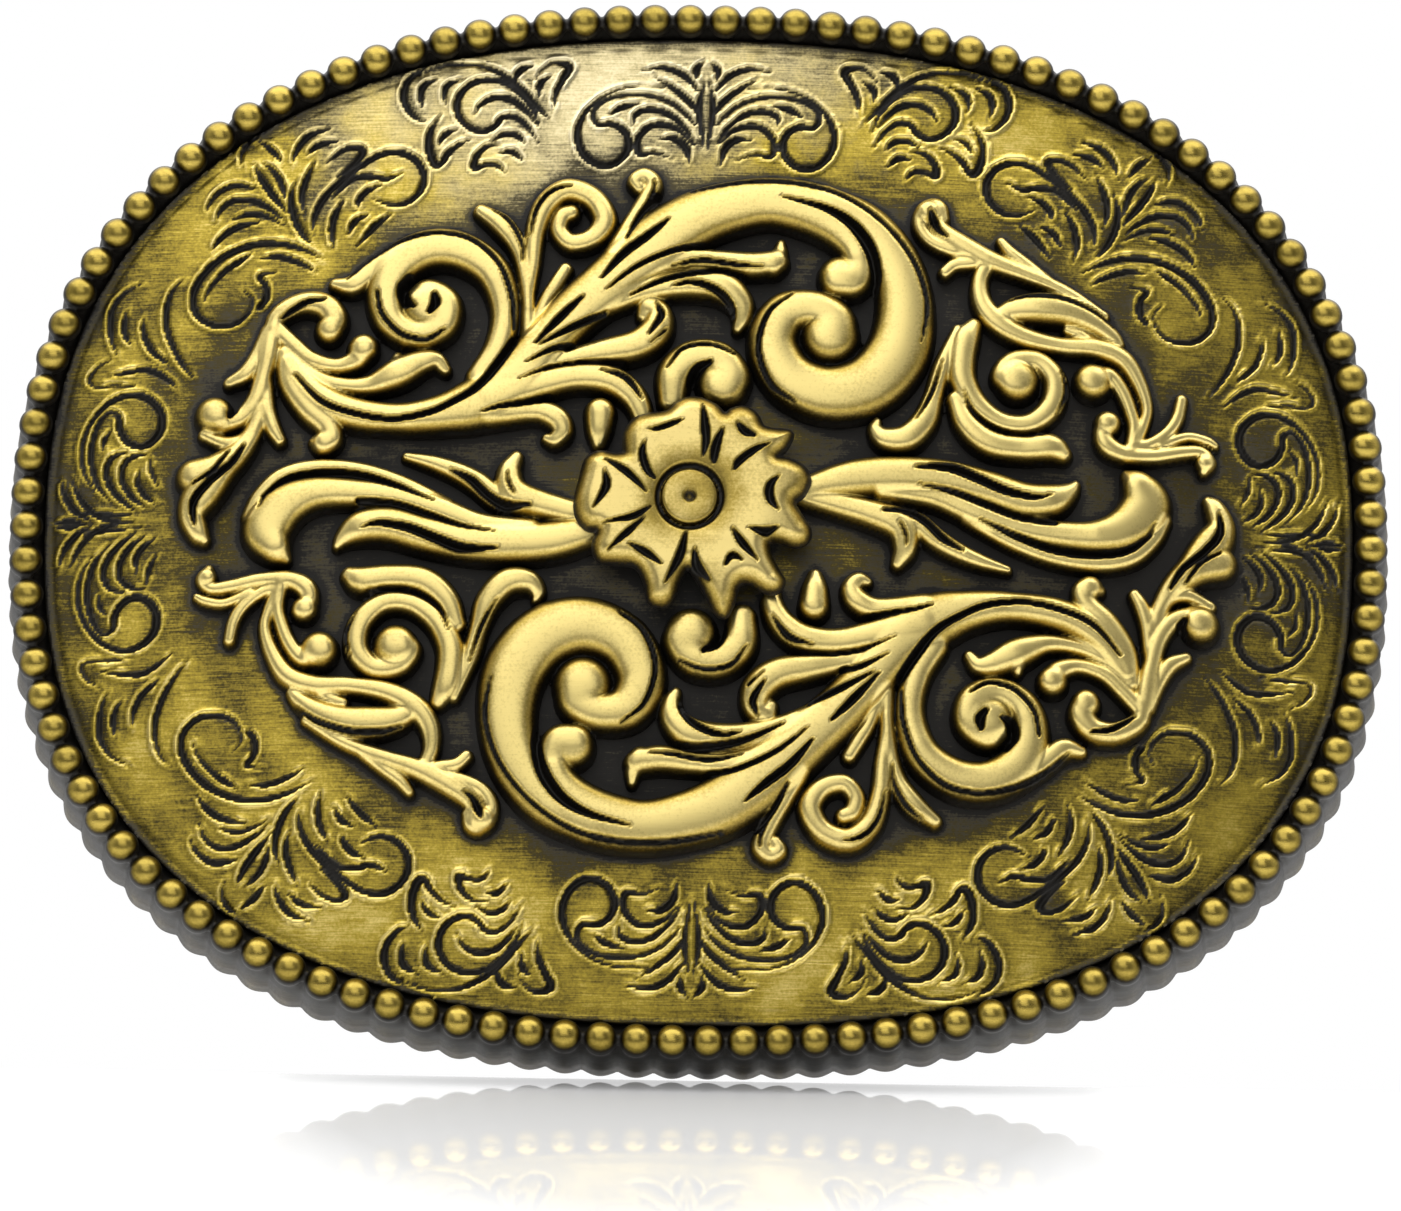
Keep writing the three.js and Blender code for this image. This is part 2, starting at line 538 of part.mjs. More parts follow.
function hingeLug(centre) {
  const outline = new THREE.Shape();
  outline.moveTo(LUG_FOOT_HALF_WIDTH, -LUG_FOOT_DEPTH);
  outline.lineTo(LUG_EYE_RADIUS, 0);
  outline.absarc(0, 0, LUG_EYE_RADIUS, 0, Math.PI);
  outline.lineTo(-LUG_FOOT_HALF_WIDTH, -LUG_FOOT_DEPTH);
  const bore = new THREE.Path();
  bore.absarc(0, 0, LUG_BORE_RADIUS, 0, 2 * Math.PI, true);
  outline.holes.push(bore);
  const settings = { depth: LUG_LENGTH, bevelEnabled: false, curveSegments: LUG_SIDES };
  const block = new THREE.ExtrudeGeometry(outline, settings);
  block.translate(HINGE_X, HINGE_Y, centre - LUG_LENGTH / 2);
  return solid(block).subtract(frontSide);
}
addPart("upper_hinge_lug", hingeLug(LUG_CENTRE), backBrass);
addPart("lower_hinge_lug", hingeLug(-LUG_CENTRE), backBrass);

// The wire runs from the upper pin, out along an arm, down the belt bar and back to the lower pin.
function bailLoop() {
  const spot = (out, up) => {
    const x = HINGE_X + out * Math.cos(BAIL_REST_ANGLE);
    const y = HINGE_Y + out * Math.sin(BAIL_REST_ANGLE);
    return new THREE.Vector3(x, y, up);
  };
  const corners = [
    spot(0, BAIL_PIN_END),
    spot(0, BAIL_HALF_HEIGHT),
    spot(BAIL_REACH, BAIL_HALF_HEIGHT),
    spot(BAIL_REACH, -BAIL_HALF_HEIGHT),
    spot(0, -BAIL_HALF_HEIGHT),
    spot(0, -BAIL_PIN_END),
  ];
  const path = new THREE.CurvePath();
  let from = corners[0];
  for (let i = 1; i < corners.length - 1; i++) {
    const bendStart = corners[i].clone().sub(from).setLength(BAIL_CORNER).negate().add(corners[i]);
    const bendEnd = corners[i + 1].clone().sub(corners[i]).setLength(BAIL_CORNER).add(corners[i]);
    path.add(new THREE.LineCurve3(from, bendStart));
    path.add(new THREE.QuadraticBezierCurve3(bendStart, corners[i], bendEnd));
    from = bendEnd;
  }
  path.add(new THREE.LineCurve3(from, corners[corners.length - 1]));
  const section = new THREE.Shape();
  for (let i = 0; i < WIRE_SIDES; i++) {
    const turn = ((i + 0.5) * 2 * Math.PI) / WIRE_SIDES;
    const corner = [WIRE_RADIUS * Math.cos(turn), WIRE_RADIUS * Math.sin(turn)];
    if (i === 0) section.moveTo(...corner);
    else section.lineTo(...corner);
  }
  return solid(new THREE.ExtrudeGeometry(section, { steps: BAIL_STEPS, extrudePath: path }));
}
addPart("bail_loop", bailLoop(), wireSteel);

// Belt hook ------------------------------------------------------------------------------------

// An oval pad on the plate's back with a knobbed post that leans towards the bail.
function beltHook() {
  const padProfile = [
    [0, -HOOK_PAD_DEPTH],
    [HOOK_PAD_RADIUS, -HOOK_PAD_DEPTH],
    [HOOK_PAD_RADIUS, 0],
    [0, 0],
  ];
  const pad = solid(turned(padProfile, ROUND_SIDES), ({ x, y, z }) =>
    new THREE.Vector3(HOOK_X + x, HOOK_PAD_FACE + y, HOOK_PAD_STRETCH * z));
  const knobStart = HOOK_LENGTH - HOOK_KNOB_RADIUS;
  const postProfile = [
    [0, -HOOK_ROOT],
    [HOOK_RADIUS, -HOOK_ROOT],
    [HOOK_RADIUS, knobStart - HOOK_KNOB_CHAMFER],
    [HOOK_KNOB_RADIUS, knobStart],
    [HOOK_KNOB_RADIUS, HOOK_LENGTH - HOOK_KNOB_CHAMFER],
    [HOOK_KNOB_RADIUS - HOOK_KNOB_CHAMFER, HOOK_LENGTH],
    [0, HOOK_LENGTH],
  ];
  const post = turned(postProfile, LUG_SIDES);
  post.rotateZ(-HOOK_LEAN);
  post.translate(HOOK_X, HOOK_PAD_FACE, 0);
  return pad.add(solid(post)).subtract(frontSide);
}
addPart("belt_hook", beltHook(), backBrass);

export default group;
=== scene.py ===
# Oval western belt buckle in antique brass: an engraved, domed face plate in a beaded rim, with raised
# scrollwork and a riveted flower on its front, and a hinged bail loop and a belt hook on its back.
# Lengths are in millimetres: u runs to the right and v up across the face, and h out of its front.
import json
import math

import bpy
import numpy as np
from mathutils import Matrix, Vector

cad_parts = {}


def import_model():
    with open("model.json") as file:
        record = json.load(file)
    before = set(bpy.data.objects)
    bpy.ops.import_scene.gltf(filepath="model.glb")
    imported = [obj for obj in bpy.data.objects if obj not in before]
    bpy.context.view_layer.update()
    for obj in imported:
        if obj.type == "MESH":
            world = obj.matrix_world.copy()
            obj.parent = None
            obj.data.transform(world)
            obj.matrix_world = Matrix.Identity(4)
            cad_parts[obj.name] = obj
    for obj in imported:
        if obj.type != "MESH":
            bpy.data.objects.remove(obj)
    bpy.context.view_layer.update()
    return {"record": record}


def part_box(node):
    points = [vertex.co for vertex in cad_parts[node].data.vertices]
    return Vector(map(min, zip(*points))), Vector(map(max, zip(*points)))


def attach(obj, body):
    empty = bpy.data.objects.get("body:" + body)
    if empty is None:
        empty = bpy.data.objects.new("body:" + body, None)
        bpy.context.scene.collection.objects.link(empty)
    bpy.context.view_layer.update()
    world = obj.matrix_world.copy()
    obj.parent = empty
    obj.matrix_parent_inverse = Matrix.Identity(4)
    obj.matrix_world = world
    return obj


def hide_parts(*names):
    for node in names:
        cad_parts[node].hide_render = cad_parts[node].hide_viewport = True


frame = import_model()

MM = 0.001


def cad(node):
    """Lowest and highest corner of a CAD node, in millimetres."""
    low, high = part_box(node)
    return np.array(low) / MM, np.array(high) / MM


# Driving dimensions, from the frame ------------------------------------------------------------

RIM_OUTER = 1.5  # from the middle of the beads out to the side wall's face
RIM_LOW, RIM_HIGH = cad("beaded_rim")
RING_HALF_WIDTH = RIM_HIGH[0] - RIM_OUTER
RING_HALF_HEIGHT = RIM_HIGH[2] - RIM_OUTER
OVAL_POWER = 2.37  # 2 would be an ellipse
BEND = 0.0014  # the buckle curves back by this times the square of the distance from its middle line
DOME_RISE = 3.0
EDGE_DROP = 0.6  # how far the dome's edge lies behind the middle of the beads
PLATE_THICKNESS = 1.6
PLATE_INSET = 1.3
FLOWER_TOP = 6.2  # from the middle of the beads out to the face of the flower's rivet
RIVET_LOW, RIVET_HIGH = cad("flower_rivet")
BEAD_PLANE = RIVET_LOW[1] + FLOWER_TOP
FLOWER_CENTRE = ((RIVET_LOW + RIVET_HIGH) / 2)[[0, 2]]
TURN_CENTRE = np.array((0.54, 0.46))
ENGRAVING_MIDDLE = 0.2
HINGE = np.array(frame["record"]["behaviour"]["joints"][0]["pos_m"]) / MM
HOOK_X, HOOK_FACE = np.array(frame["record"]["mounts"][0]["pos_m"])[:2] / MM
LUG_LOW, LUG_HIGH = cad("upper_hinge_lug")
LUG_UP = (LUG_LOW[2] + LUG_HIGH[2]) / 2
# What stands on the plate's back: right, up and the radius of its foot.
BACK_FITTINGS = (
    (HINGE[0], LUG_UP, 2.5),
    (HINGE[0], -LUG_UP, 2.5),
    (HOOK_X, 0, 6.0),
    (*FLOWER_CENTRE, 2.4),
)

# Raised scrollwork: smooth spines of (right, up, half width) points. The lower half of the pattern is
# the upper half turned half round TURN_CENTRE.
MAIN_SCROLL = {
    "volute": [
        (-15.8, 10, 0.75), (-14.5, 12.3, 0.8), (-14.1, 15, 0.85), (-15, 17.8, 1.1),
        (-17.2, 19.4, 1.25), (-19.6, 19.6, 1.3), (-21.7, 18.4, 1.3), (-22.6, 16.2, 1.15),
        (-22.1, 14.2, 1), (-20.4, 13.2, 0.9), (-18.6, 13.8, 1), (-18.3, 15.4, 1), (-19.5, 16.4, 0.8),
        (-20.5, 16, 0.5),
    ],
    "volute_tail": [(-21.4, 19.4, 0.8), (-23.3, 18.3, 0.65), (-24.9, 17, 0.6), (-26.2, 17.1, 0.25)],
    "curl": [
        (-30.6, 14, 0.4), (-30, 15, 0.55), (-28.5, 15.7, 0.65), (-27, 15.5, 0.75), (-26.2, 14.5, 0.8),
        (-26.5, 13.5, 0.7),
    ],
    "curl_foot": [
        (-30.3, 13.8, 0.5), (-29.1, 12.6, 0.5), (-27.8, 11.5, 0.48), (-26, 11, 0.42),
        (-24.6, 11.4, 0.6), (-24, 12.3, 0.8),
    ],
    "wave": [
        (-29.6, 12, 0.4), (-27.9, 10.4, 0.45), (-25.8, 9.6, 0.4), (-23.6, 9.5, 0.55),
        (-21.6, 10.3, 0.95), (-20, 11.1, 0.75), (-18.9, 11.3, 0.5), (-18.2, 10.6, 0.25),
    ],
    "wave_tip": [(-21.6, 10.4, 0.7), (-21.6, 11.6, 0.2)],
    "blade": [(-31, 13.7, 0.3), (-31.6, 12, 0.38), (-32.4, 10.6, 0.45), (-33.6, 9.9, 0.25)],
    "stalk": [
        (-30.5, 14.6, 0.4), (-30.8, 12.5, 0.6), (-31.2, 10.4, 0.5), (-31.7, 8.6, 0.5),
        (-32.7, 7.3, 0.5), (-34, 6.9, 0.6),
    ],
    "stalk_under": [(-31.2, 8, 0.4), (-32.2, 5.9, 0.4), (-33.6, 5.4, 0.4), (-35.3, 6.1, 0.25)],
    "leaf_a": [(-31.3, 7, 0.3), (-32.5, 5, 0.65), (-34.2, 3.5, 1.05), (-35.9, 3, 1.1)],
    "leaf_b": [
        (-33.6, 3.8, 0.8), (-35.2, 1.9, 1.2), (-36, 0.4, 0.85), (-35.6, -1, 0.6), (-35.1, -1.6, 0.25),
    ],
    "finger": [(-31, 10.2, 0.3), (-30.8, 7.9, 0.4), (-30.4, 6.5, 0.42), (-29.9, 5.6, 0.3)],
    "prong": [
        (-29.8, 12, 0.4), (-29.2, 9.8, 0.7), (-27.9, 7.9, 0.8), (-26.6, 6.6, 0.7), (-26.2, 5.6, 0.65),
        (-26.8, 5, 0.45), (-27.4, 5.4, 0.25),
    ],
    "trunk": [
        (-29.4, 11.2, 0.6), (-27.4, 8.8, 0.9), (-24.7, 7.4, 1), (-21.2, 7, 0.95), (-18, 7.4, 1.3),
        (-15.4, 8.3, 1.8), (-13.2, 9.9, 1.6), (-11.4, 12.2, 1.5), (-9, 14.9, 1.6), (-6.3, 17.4, 1.8),
        (-3.6, 19.9, 2), (-1, 21.8, 1.9), (1.8, 22.9, 1.75), (4.8, 23.4, 1.65), (8, 22.8, 1.8),
        (10.3, 21.2, 1.5), (11.1, 19.2, 1), (10.7, 17.6, 1.05), (9.6, 17.5, 1.1),
    ],
    "big_volute": [
        (8.5, 23.6, 1), (11.6, 21.9, 1.3), (13.6, 19.1, 1.6), (14.4, 15.8, 1.8), (13.9, 12.4, 2),
        (11.9, 9.9, 2), (9, 9.1, 1.85), (6.3, 10.2, 1.7), (5, 12.7, 1.55), (5.8, 14.9, 1.4),
        (7.8, 15.4, 1.2), (9.3, 14.6, 1.3), (9.1, 13.4, 1.7),
    ],
    "stem_curl": [
        (-12.4, 13.2, 0.35), (-12.4, 16.2, 0.32), (-12.15, 18.6, 0.42), (-12, 21, 0.55),
        (-11.3, 23, 0.65), (-9.8, 24.1, 0.7), (-8, 23.5, 0.68), (-7.1, 21.9, 0.7), (-7.9, 20.5, 0.6),
        (-9.4, 20.1, 0.55), (-10.3, 21, 0.5), (-10.1, 22.1, 0.5), (-9.5, 22.4, 0.45),
    ],
    "stem_leaf": [(-9.8, 18.1, 0.35), (-10.5, 16.9, 0.38), (-11.2, 15.7, 0.32), (-12, 13.4, 0.3)],
    "side_leaf": [
        (-15.9, 22.5, 0.35), (-14.4, 21.4, 0.65), (-13.3, 19.8, 0.5), (-12.8, 18, 0.35),
        (-12.4, 15.2, 0.3),
    ],
    "top_curl": [
        (-6.4, 19.4, 0.5), (-5.2, 21.5, 0.5), (-4.2, 23.3, 0.5), (-3.7, 24.6, 0.5), (-4.3, 25.3, 0.42),
        (-4.95, 24.9, 0.4), (-4.7, 24.4, 0.35),
    ],
    "leaf_c": [
        (-8, 15.7, 0.8), (-5, 17.6, 0.85), (-2, 18.9, 0.75), (1, 18.9, 0.62), (3.5, 18.6, 0.8),
        (5.2, 18.9, 0.7),
    ],
    "leaf_c_tip": [(4.9, 18.6, 0.7), (5.4, 19.5, 0.4), (5.5, 20.3, 0.15)],
    "leaf_d": [
        (-7.6, 15, 0.6), (-4.5, 16.4, 0.75), (-1.5, 17, 0.85), (1.2, 16.9, 1), (2.6, 15.8, 0.8),
        (2.8, 14.6, 0.5), (2.5, 13.8, 0.2),
    ],
    "leaf_e": [
        (-12.8, 10.4, 0.7), (-9.6, 11.3, 0.6), (-6.8, 11.9, 0.85), (-4.6, 12.4, 1), (-3.3, 13.5, 1),
        (-3.1, 14.8, 0.75), (-3.9, 15.3, 0.55), (-4.2, 14.7, 0.35),
    ],
    "lower_arch": [
        (-14.8, 8.4, 1.1), (-11.6, 9.4, 0.95), (-8.8, 10, 0.85), (-6.5, 9.8, 0.9), (-4.9, 8.7, 0.8),
        (-4.2, 7.3, 0.6), (-4.3, 6.6, 0.35),
    ],
    "lower_hook": [
        (-15, 7.3, 0.9), (-11.8, 7.5, 0.68), (-10.3, 7, 0.72), (-9.8, 6.1, 0.6), (-10.3, 5.4, 0.42),
        (-10.9, 5.5, 0.2),
    ],
}
WING = {
    "loop_right": [
        (16.3, 22.9, 0.35), (16.9, 21.7, 0.5), (18.3, 20.7, 0.6), (20.5, 19.5, 0.6), (23, 18.6, 0.45),
        (26, 17.4, 0.3), (28.6, 15.8, 0.2),
    ],
    "loop_left": [
        (17, 22.6, 0.3), (16.8, 23.4, 0.33), (16.2, 23.6, 0.33), (15.5, 23, 0.35), (15.4, 21.9, 0.38),
        (16.1, 20.9, 0.38), (17.4, 20.3, 0.4), (19, 20, 0.4),
    ],
    "fin": [(21.2, 21, 0.2), (21.9, 20.2, 0.32), (23, 19.4, 0.3), (24.6, 18.2, 0.25)],
    "barb": [(17.2, 18.5, 0.3), (17.9, 19.1, 0.35), (19, 19.3, 0.38), (20.2, 19.6, 0.45)],
    "hoop": [
        (20.2, 19.3, 0.4), (19.7, 17.9, 0.45), (19.9, 16.3, 0.6), (21, 14.9, 0.7), (22.9, 13.9, 0.62),
        (25.5, 13.4, 0.5), (28.2, 13.3, 0.6), (30, 12.6, 0.55), (31.1, 11, 0.4), (31.7, 9.2, 0.28),
        (31.5, 7.9, 0.25), (31, 6.7, 0.3),
    ],
    "dome_leaf": [
        (21.2, 15.4, 0.5), (22.4, 15.9, 0.8), (24.2, 16.1, 1), (26.2, 15.9, 0.9), (27.9, 15.2, 0.65),
        (29.2, 14.3, 0.4), (29.7, 13.8, 0.2),
    ],
    "sprig": [(26, 14.6, 0.22), (26.9, 14.3, 0.3), (28, 13.7, 0.3)],
    "ball_stem": [
        (28.3, 11.3, 0.6), (29.1, 11.3, 0.45), (29.9, 10.3, 0.4), (30.5, 8.9, 0.35), (30.8, 7.6, 0.32),
        (30.6, 5.9, 0.35),
    ],
    "hook": [
        (29.1, 7.9, 0.55), (28.6, 7.2, 0.5), (28.9, 6.2, 0.6), (30.2, 5.6, 0.5), (32.2, 5.6, 0.4),
        (34.2, 6, 0.36), (35.6, 6.1, 0.3), (36.3, 5.4, 0.25), (35.8, 4.7, 0.18),
    ],
    "spike": [(34.2, 9.9, 0.25), (33.9, 8.5, 0.3), (33.2, 7.4, 0.3), (32, 6.5, 0.3), (30.8, 6.2, 0.35)],
    "thorn": [(32.8, 6.5, 0.25), (34.6, 7.2, 0.2), (36, 7, 0.2), (36.6, 6.7, 0.12)],
}
COIL = {
    "coil": [
        (19.3, 14.6, 0.4), (18.8, 13.6, 0.75), (18.5, 12, 0.8), (18.6, 10.4, 0.8), (19.6, 8.7, 0.7),
        (21.4, 7.5, 0.6), (23.4, 7.5, 0.62), (24.9, 8.9, 0.7), (25.1, 10.8, 0.7), (23.9, 12.1, 0.62),
        (22.2, 12, 0.65), (21.4, 10.9, 0.7), (22, 10.2, 0.6),
    ],
    "cradle": [
        (18.1, 9, 0.5), (18.9, 7.2, 0.75), (20.5, 5.9, 0.85), (22.8, 5.6, 0.8), (24.8, 5.8, 0.85),
        (25.7, 5.4, 0.5),
    ],
    "comma": [
        (18.2, 14.2, 0.3), (17.1, 11.4, 0.5), (16.5, 9.3, 0.5), (15.9, 7.4, 0.75), (14.6, 6, 0.85),
        (13.1, 5.9, 0.68), (12.4, 6.6, 0.38), (12.5, 7.2, 0.15),
    ],
}
BAND = {
    "sail": [
        (7.2, 1.9, 0.7), (11, 2.9, 1.2), (14.5, 3.2, 1.25), (17.5, 3.1, 1.2), (20.5, 2.5, 1.15),
        (23, 1.8, 1.15), (25, 1.9, 1), (26.2, 2.6, 0.5), (26.7, 3.2, 0.15),
    ],
    "crook": [
        (13, 2.2, 0.7), (16.5, 1.8, 0.7), (19.5, 0.7, 0.8), (22.5, -0.2, 0.8), (25.5, -0.6, 0.85),
        (28.3, -0.6, 1.05), (30.4, 0.2, 1.4), (31.7, 1.8, 1.6), (31.2, 3.2, 1), (30.3, 4.1, 0.2),
    ],
    "keel": [
        (19, 0.3, 0.4), (22.5, -1.4, 0.45), (25.5, -2.3, 0.5), (28.5, -2.5, 0.5), (30.8, -1.9, 0.5),
        (32.3, -0.5, 0.45), (33, 0.9, 0.4),
    ],
    "fluke": [(7.4, 1.5, 0.6), (12, 0.4, 0.85), (14.2, -0.5, 0.95), (14.6, -2, 0.7), (14.1, -3.2, 0.3)],
    "fluke_b": [
        (13.6, 0.3, 0.6), (15.4, -0.2, 0.65), (16.8, -1.3, 0.65), (18.2, -2.1, 0.55), (20, -2.8, 0.4),
        (21.9, -3.3, 0.15),
    ],
}
CROWN_CURL = {
    "crown": [
        (-2.1, 8.4, 0.8), (-1.9, 10.3, 1.1), (-0.6, 11.5, 1.15), (1.1, 11.4, 1.2), (2.1, 10.2, 1.2),
        (1.5, 9.5, 1.4),
    ],
}
DROP = {
    "drop": [(-7.15, 7.4, 0.9), (-7.2, 6.2, 0.72), (-7.2, 5.2, 0.35)],
}
# Round ends of strokes: (right, up, radius).
MAIN_BALLS = [
    (-19.6, 15.2, 1.6), (-26.5, 13.7, 0.85), (-24.1, 12.2, 0.9), (-34.6, 7.5, 1.15), (-26.7, 5.3, 0.72),
    (9.8, 17.8, 1.4), (9.1, 13.4, 1.8),
]
WING_BALLS = [(27.8, 10.8, 1.15), (16, 23, 0.75), (28.9, 7.8, 0.75), (35.9, 5.3, 0.5)]
COIL_BALLS = [(22.4, 10.6, 1.35)]
CROWN_BALLS = [(1.5, 9.6, 1.6)]
# Grooves cut along the scrollwork, in the same terms.
MAIN_CUTS = [
    [(-20.9, 17.2, 0.35), (-21.4, 16.4, 0.42), (-21.1, 15.5, 0.35), (-20.5, 15.1, 0.15)],
    [(-19.1, 16, 0.2), (-19, 15.3, 0.35), (-19.4, 14.7, 0.2)],
    [
        (-23.2, 16.4, 0.12), (-22.8, 14.6, 0.16), (-21.4, 13.1, 0.18), (-19.6, 12.7, 0.16),
        (-18.3, 13.4, 0.1),
    ],
    [
        (-25.4, 17.3, 0.08), (-23.4, 19, 0.14), (-21.4, 20.1, 0.15), (-19, 20.6, 0.15),
        (-16.6, 20.1, 0.15), (-14.6, 18.3, 0.15), (-13.6, 15.8, 0.15), (-13.4, 13.5, 0.12),
    ],
    [(-30, 14.5, 0.1), (-29.3, 15, 0.18), (-28.2, 15.6, 0.22), (-26.9, 15.8, 0.12)],
    [
        (-28.9, 10.2, 0.1), (-27, 8.2, 0.2), (-24.8, 7.25, 0.22), (-22, 6.75, 0.22),
        (-19.3, 7.15, 0.24), (-17.3, 8.1, 0.25), (-15.8, 9.1, 0.3), (-14.6, 10.6, 0.35),
        (-13.4, 12.5, 0.3),
    ],
    [(-15.6, 7.2, 0.08), (-14.3, 7.6, 0.16), (-12.6, 7.9, 0.2), (-10.8, 8.3, 0.25)],
    [(-32.4, 5.1, 0.12), (-33.3, 3.7, 0.25), (-34.9, 2.3, 0.3), (-35.9, 0.9, 0.3), (-35.8, -0.6, 0.12)],
    [(-33.5, 4.6, 0.1), (-34.6, 3.2, 0.16), (-36, 2.3, 0.1)],
    [(-33.4, 8.5, 0.15), (-33.2, 7.8, 0.3), (-33.5, 7.3, 0.2)],
    [(-11.8, 12.3, 0.1), (-10, 14.3, 0.3), (-8.5, 15.8, 0.12)],
    [(-11.5, 12.2, 0.08), (-9, 13.6, 0.25), (-6.8, 14.7, 0.1)],
    [(-7.2, 17.2, 0.1), (-5.7, 19, 0.3), (-4, 20.4, 0.3), (-2.5, 21.7, 0.1)],
    [(-5.5, 20.3, 0.1), (-4.5, 22.2, 0.2), (-3.4, 23.6, 0.3)],
    [(-6.8, 16.4, 0.08), (-4.7, 18.1, 0.18), (-2, 19.4, 0.2), (0.2, 19.8, 0.2)],
    [(-2.3, 18.3, 0.06), (0, 18.75, 0.18), (2.7, 18.4, 0.16), (4.3, 18.3, 0.06)],
    [(-5.2, 16, 0.08), (-3.2, 17, 0.2), (-1.3, 17.6, 0.25), (1, 17.9, 0.25), (2.8, 17.6, 0.15)],
    [(-2.3, 16.7, 0.06), (-0.7, 17, 0.22), (1, 16.4, 0.26), (2, 15.4, 0.2), (2.3, 14.4, 0.06)],
    [(-3.3, 15.5, 0.08), (-2.95, 14.4, 0.25), (-3.8, 13, 0.08)],
    [(-3.7, 12.4, 0.08), (-2.6, 13.4, 0.12)],
    [(-12.4, 10.9, 0.08), (-10.5, 11.9, 0.2), (-9.2, 12.1, 0.2)],
    [(-13, 9.6, 0.06), (-10.6, 10.6, 0.14), (-8, 11, 0.16), (-5.6, 10.9, 0.2)],
    [(-7.2, 10.4, 0.06), (-5.4, 9.8, 0.22), (-4.2, 8.3, 0.08)],
    [
        (5.5, 23.6, 0.08), (8.5, 22.8, 0.25), (10.4, 21.7, 0.4), (11.7, 20, 0.45), (12.3, 18, 0.35),
        (12.2, 16.4, 0.15),
    ],
    [
        (-1, 23.9, 0.06), (2.5, 24.6, 0.13), (6, 24.7, 0.14), (9.5, 23.9, 0.14), (12.5, 22, 0.14),
        (14.8, 19.2, 0.14), (15.9, 16, 0.13), (15.6, 13, 0.08),
    ],
    [(6.6, 8.3, 0.08), (4.9, 9.6, 0.15), (4, 12.2, 0.18), (4.7, 14.8, 0.15), (6.3, 16.2, 0.08)],
    [(-12.4, 20.5, 0.08), (-11.9, 22.6, 0.14), (-10.8, 23.9, 0.16), (-9.3, 24.3, 0.06)],
    [(-4.3, 22.6, 0.06), (-3.6, 24.2, 0.12), (-3.7, 25, 0.06)],
    [(-15.2, 22.6, 0.06), (-13.9, 21.6, 0.14), (-13, 20, 0.12), (-12.8, 18.5, 0.06)],
]
WING_CUTS = [
    [(16.1, 23, 0.1), (16.3, 22.4, 0.28), (16.7, 21.6, 0.2), (17.4, 21.05, 0.08)],
    [(21.6, 16.4, 0.06), (23.4, 16.85, 0.16), (25.6, 16.75, 0.18), (27.8, 16, 0.16), (29.3, 14.9, 0.06)],
]
COIL_CUTS = [
    [(18.6, 9.6, 0.06), (19.4, 7.9, 0.14), (21, 6.8, 0.18), (22.8, 6.5, 0.16), (24.6, 6.7, 0.08)],
    [(17.1, 11.8, 0.06), (16.3, 9.2, 0.14), (15.3, 7.3, 0.06)],
    [(25.3, 8.3, 0.06), (25.9, 9.8, 0.12), (25.6, 11.4, 0.06)],
]
BAND_CUTS = [
    [
        (15.2, 3.7, 0.08), (17.7, 3.7, 0.35), (19.7, 3, 0.35), (21.7, 2.2, 0.32), (23.7, 1.85, 0.22),
        (25, 2.1, 0.06),
    ],
    [(15.5, 2.5, 0.06), (18, 2, 0.16), (20.3, 1.15, 0.2), (22.7, 0.35, 0.22), (25.2, 0.1, 0.22)],
    [
        (19.8, 0.2, 0.06), (22.7, -1.05, 0.22), (25.2, -1.85, 0.26), (27.7, -2.05, 0.26),
        (30.2, -1.7, 0.24), (31.8, -0.6, 0.14), (32.3, 0.4, 0.06),
    ],
    [(13, 0.5, 0.1), (14.7, 0.5, 0.3), (16, -0.2, 0.3), (17.3, -1.4, 0.28), (18.8, -2.2, 0.08)],
    [(14.2, -0.3, 0.08), (14.6, -1.1, 0.12), (14.7, -2, 0.05)],
]
CROWN_CUTS = [
    [(0.6, 11, 0.2), (-0.3, 10.5, 0.35), (-0.65, 9.5, 0.35), (-0.2, 8.4, 0.25)],
    [(-2.4, 10.6, 0.08), (-1.3, 12, 0.14), (0.6, 12.3, 0.14), (2.3, 11.7, 0.08)],
]
# Petal outline and the cuts in the petals, measured from the middle of the flower.
PETAL_OUTLINE = [
    (-4.6, 3.2), (-4.6, 4.6), (-4, 5.7), (-3, 6.1), (-1.7, 6.3), (-0.9, 7), (-0.1, 7.4), (0.8, 7.3),
    (1.8, 6.8), (2.4, 6.2), (2.9, 6.6), (3.8, 6.8), (4.6, 6.3), (5.1, 5.4), (6.1, 5.2), (7.1, 5),
    (6.8, 4), (6.1, 3.2), (7, 3), (8, 2.5), (8.4, 1.6), (8, 0.5), (7.35, -0.1), (7.9, -1.1),
    (8.5, -2.1), (8.3, -2.9), (7.5, -3.2), (6.4, -2.9), (5.6, -3), (5.7, -4), (6.3, -5.1), (6.7, -5.8),
    (6.4, -6.5), (5.6, -6.6), (4.3, -5.9), (3.5, -6.2), (3.2, -7.3), (2.7, -8.4), (2.1, -8.2), (1.4, -7),
    (0.5, -5.5), (-0.1, -5), (-0.7, -6), (-1.1, -7.2), (-1.8, -7.8), (-2.7, -7.4), (-3, -6),
    (-3.7, -4.9), (-5.1, -4.7), (-6.3, -4.5), (-6.7, -3.5), (-6.4, -2.4), (-7.2, -2.2), (-7.9, -1.3),
    (-8, -0.1), (-7.7, 1.3), (-7.3, 2.8), (-6.4, 3.3), (-5.3, 3.1),
]
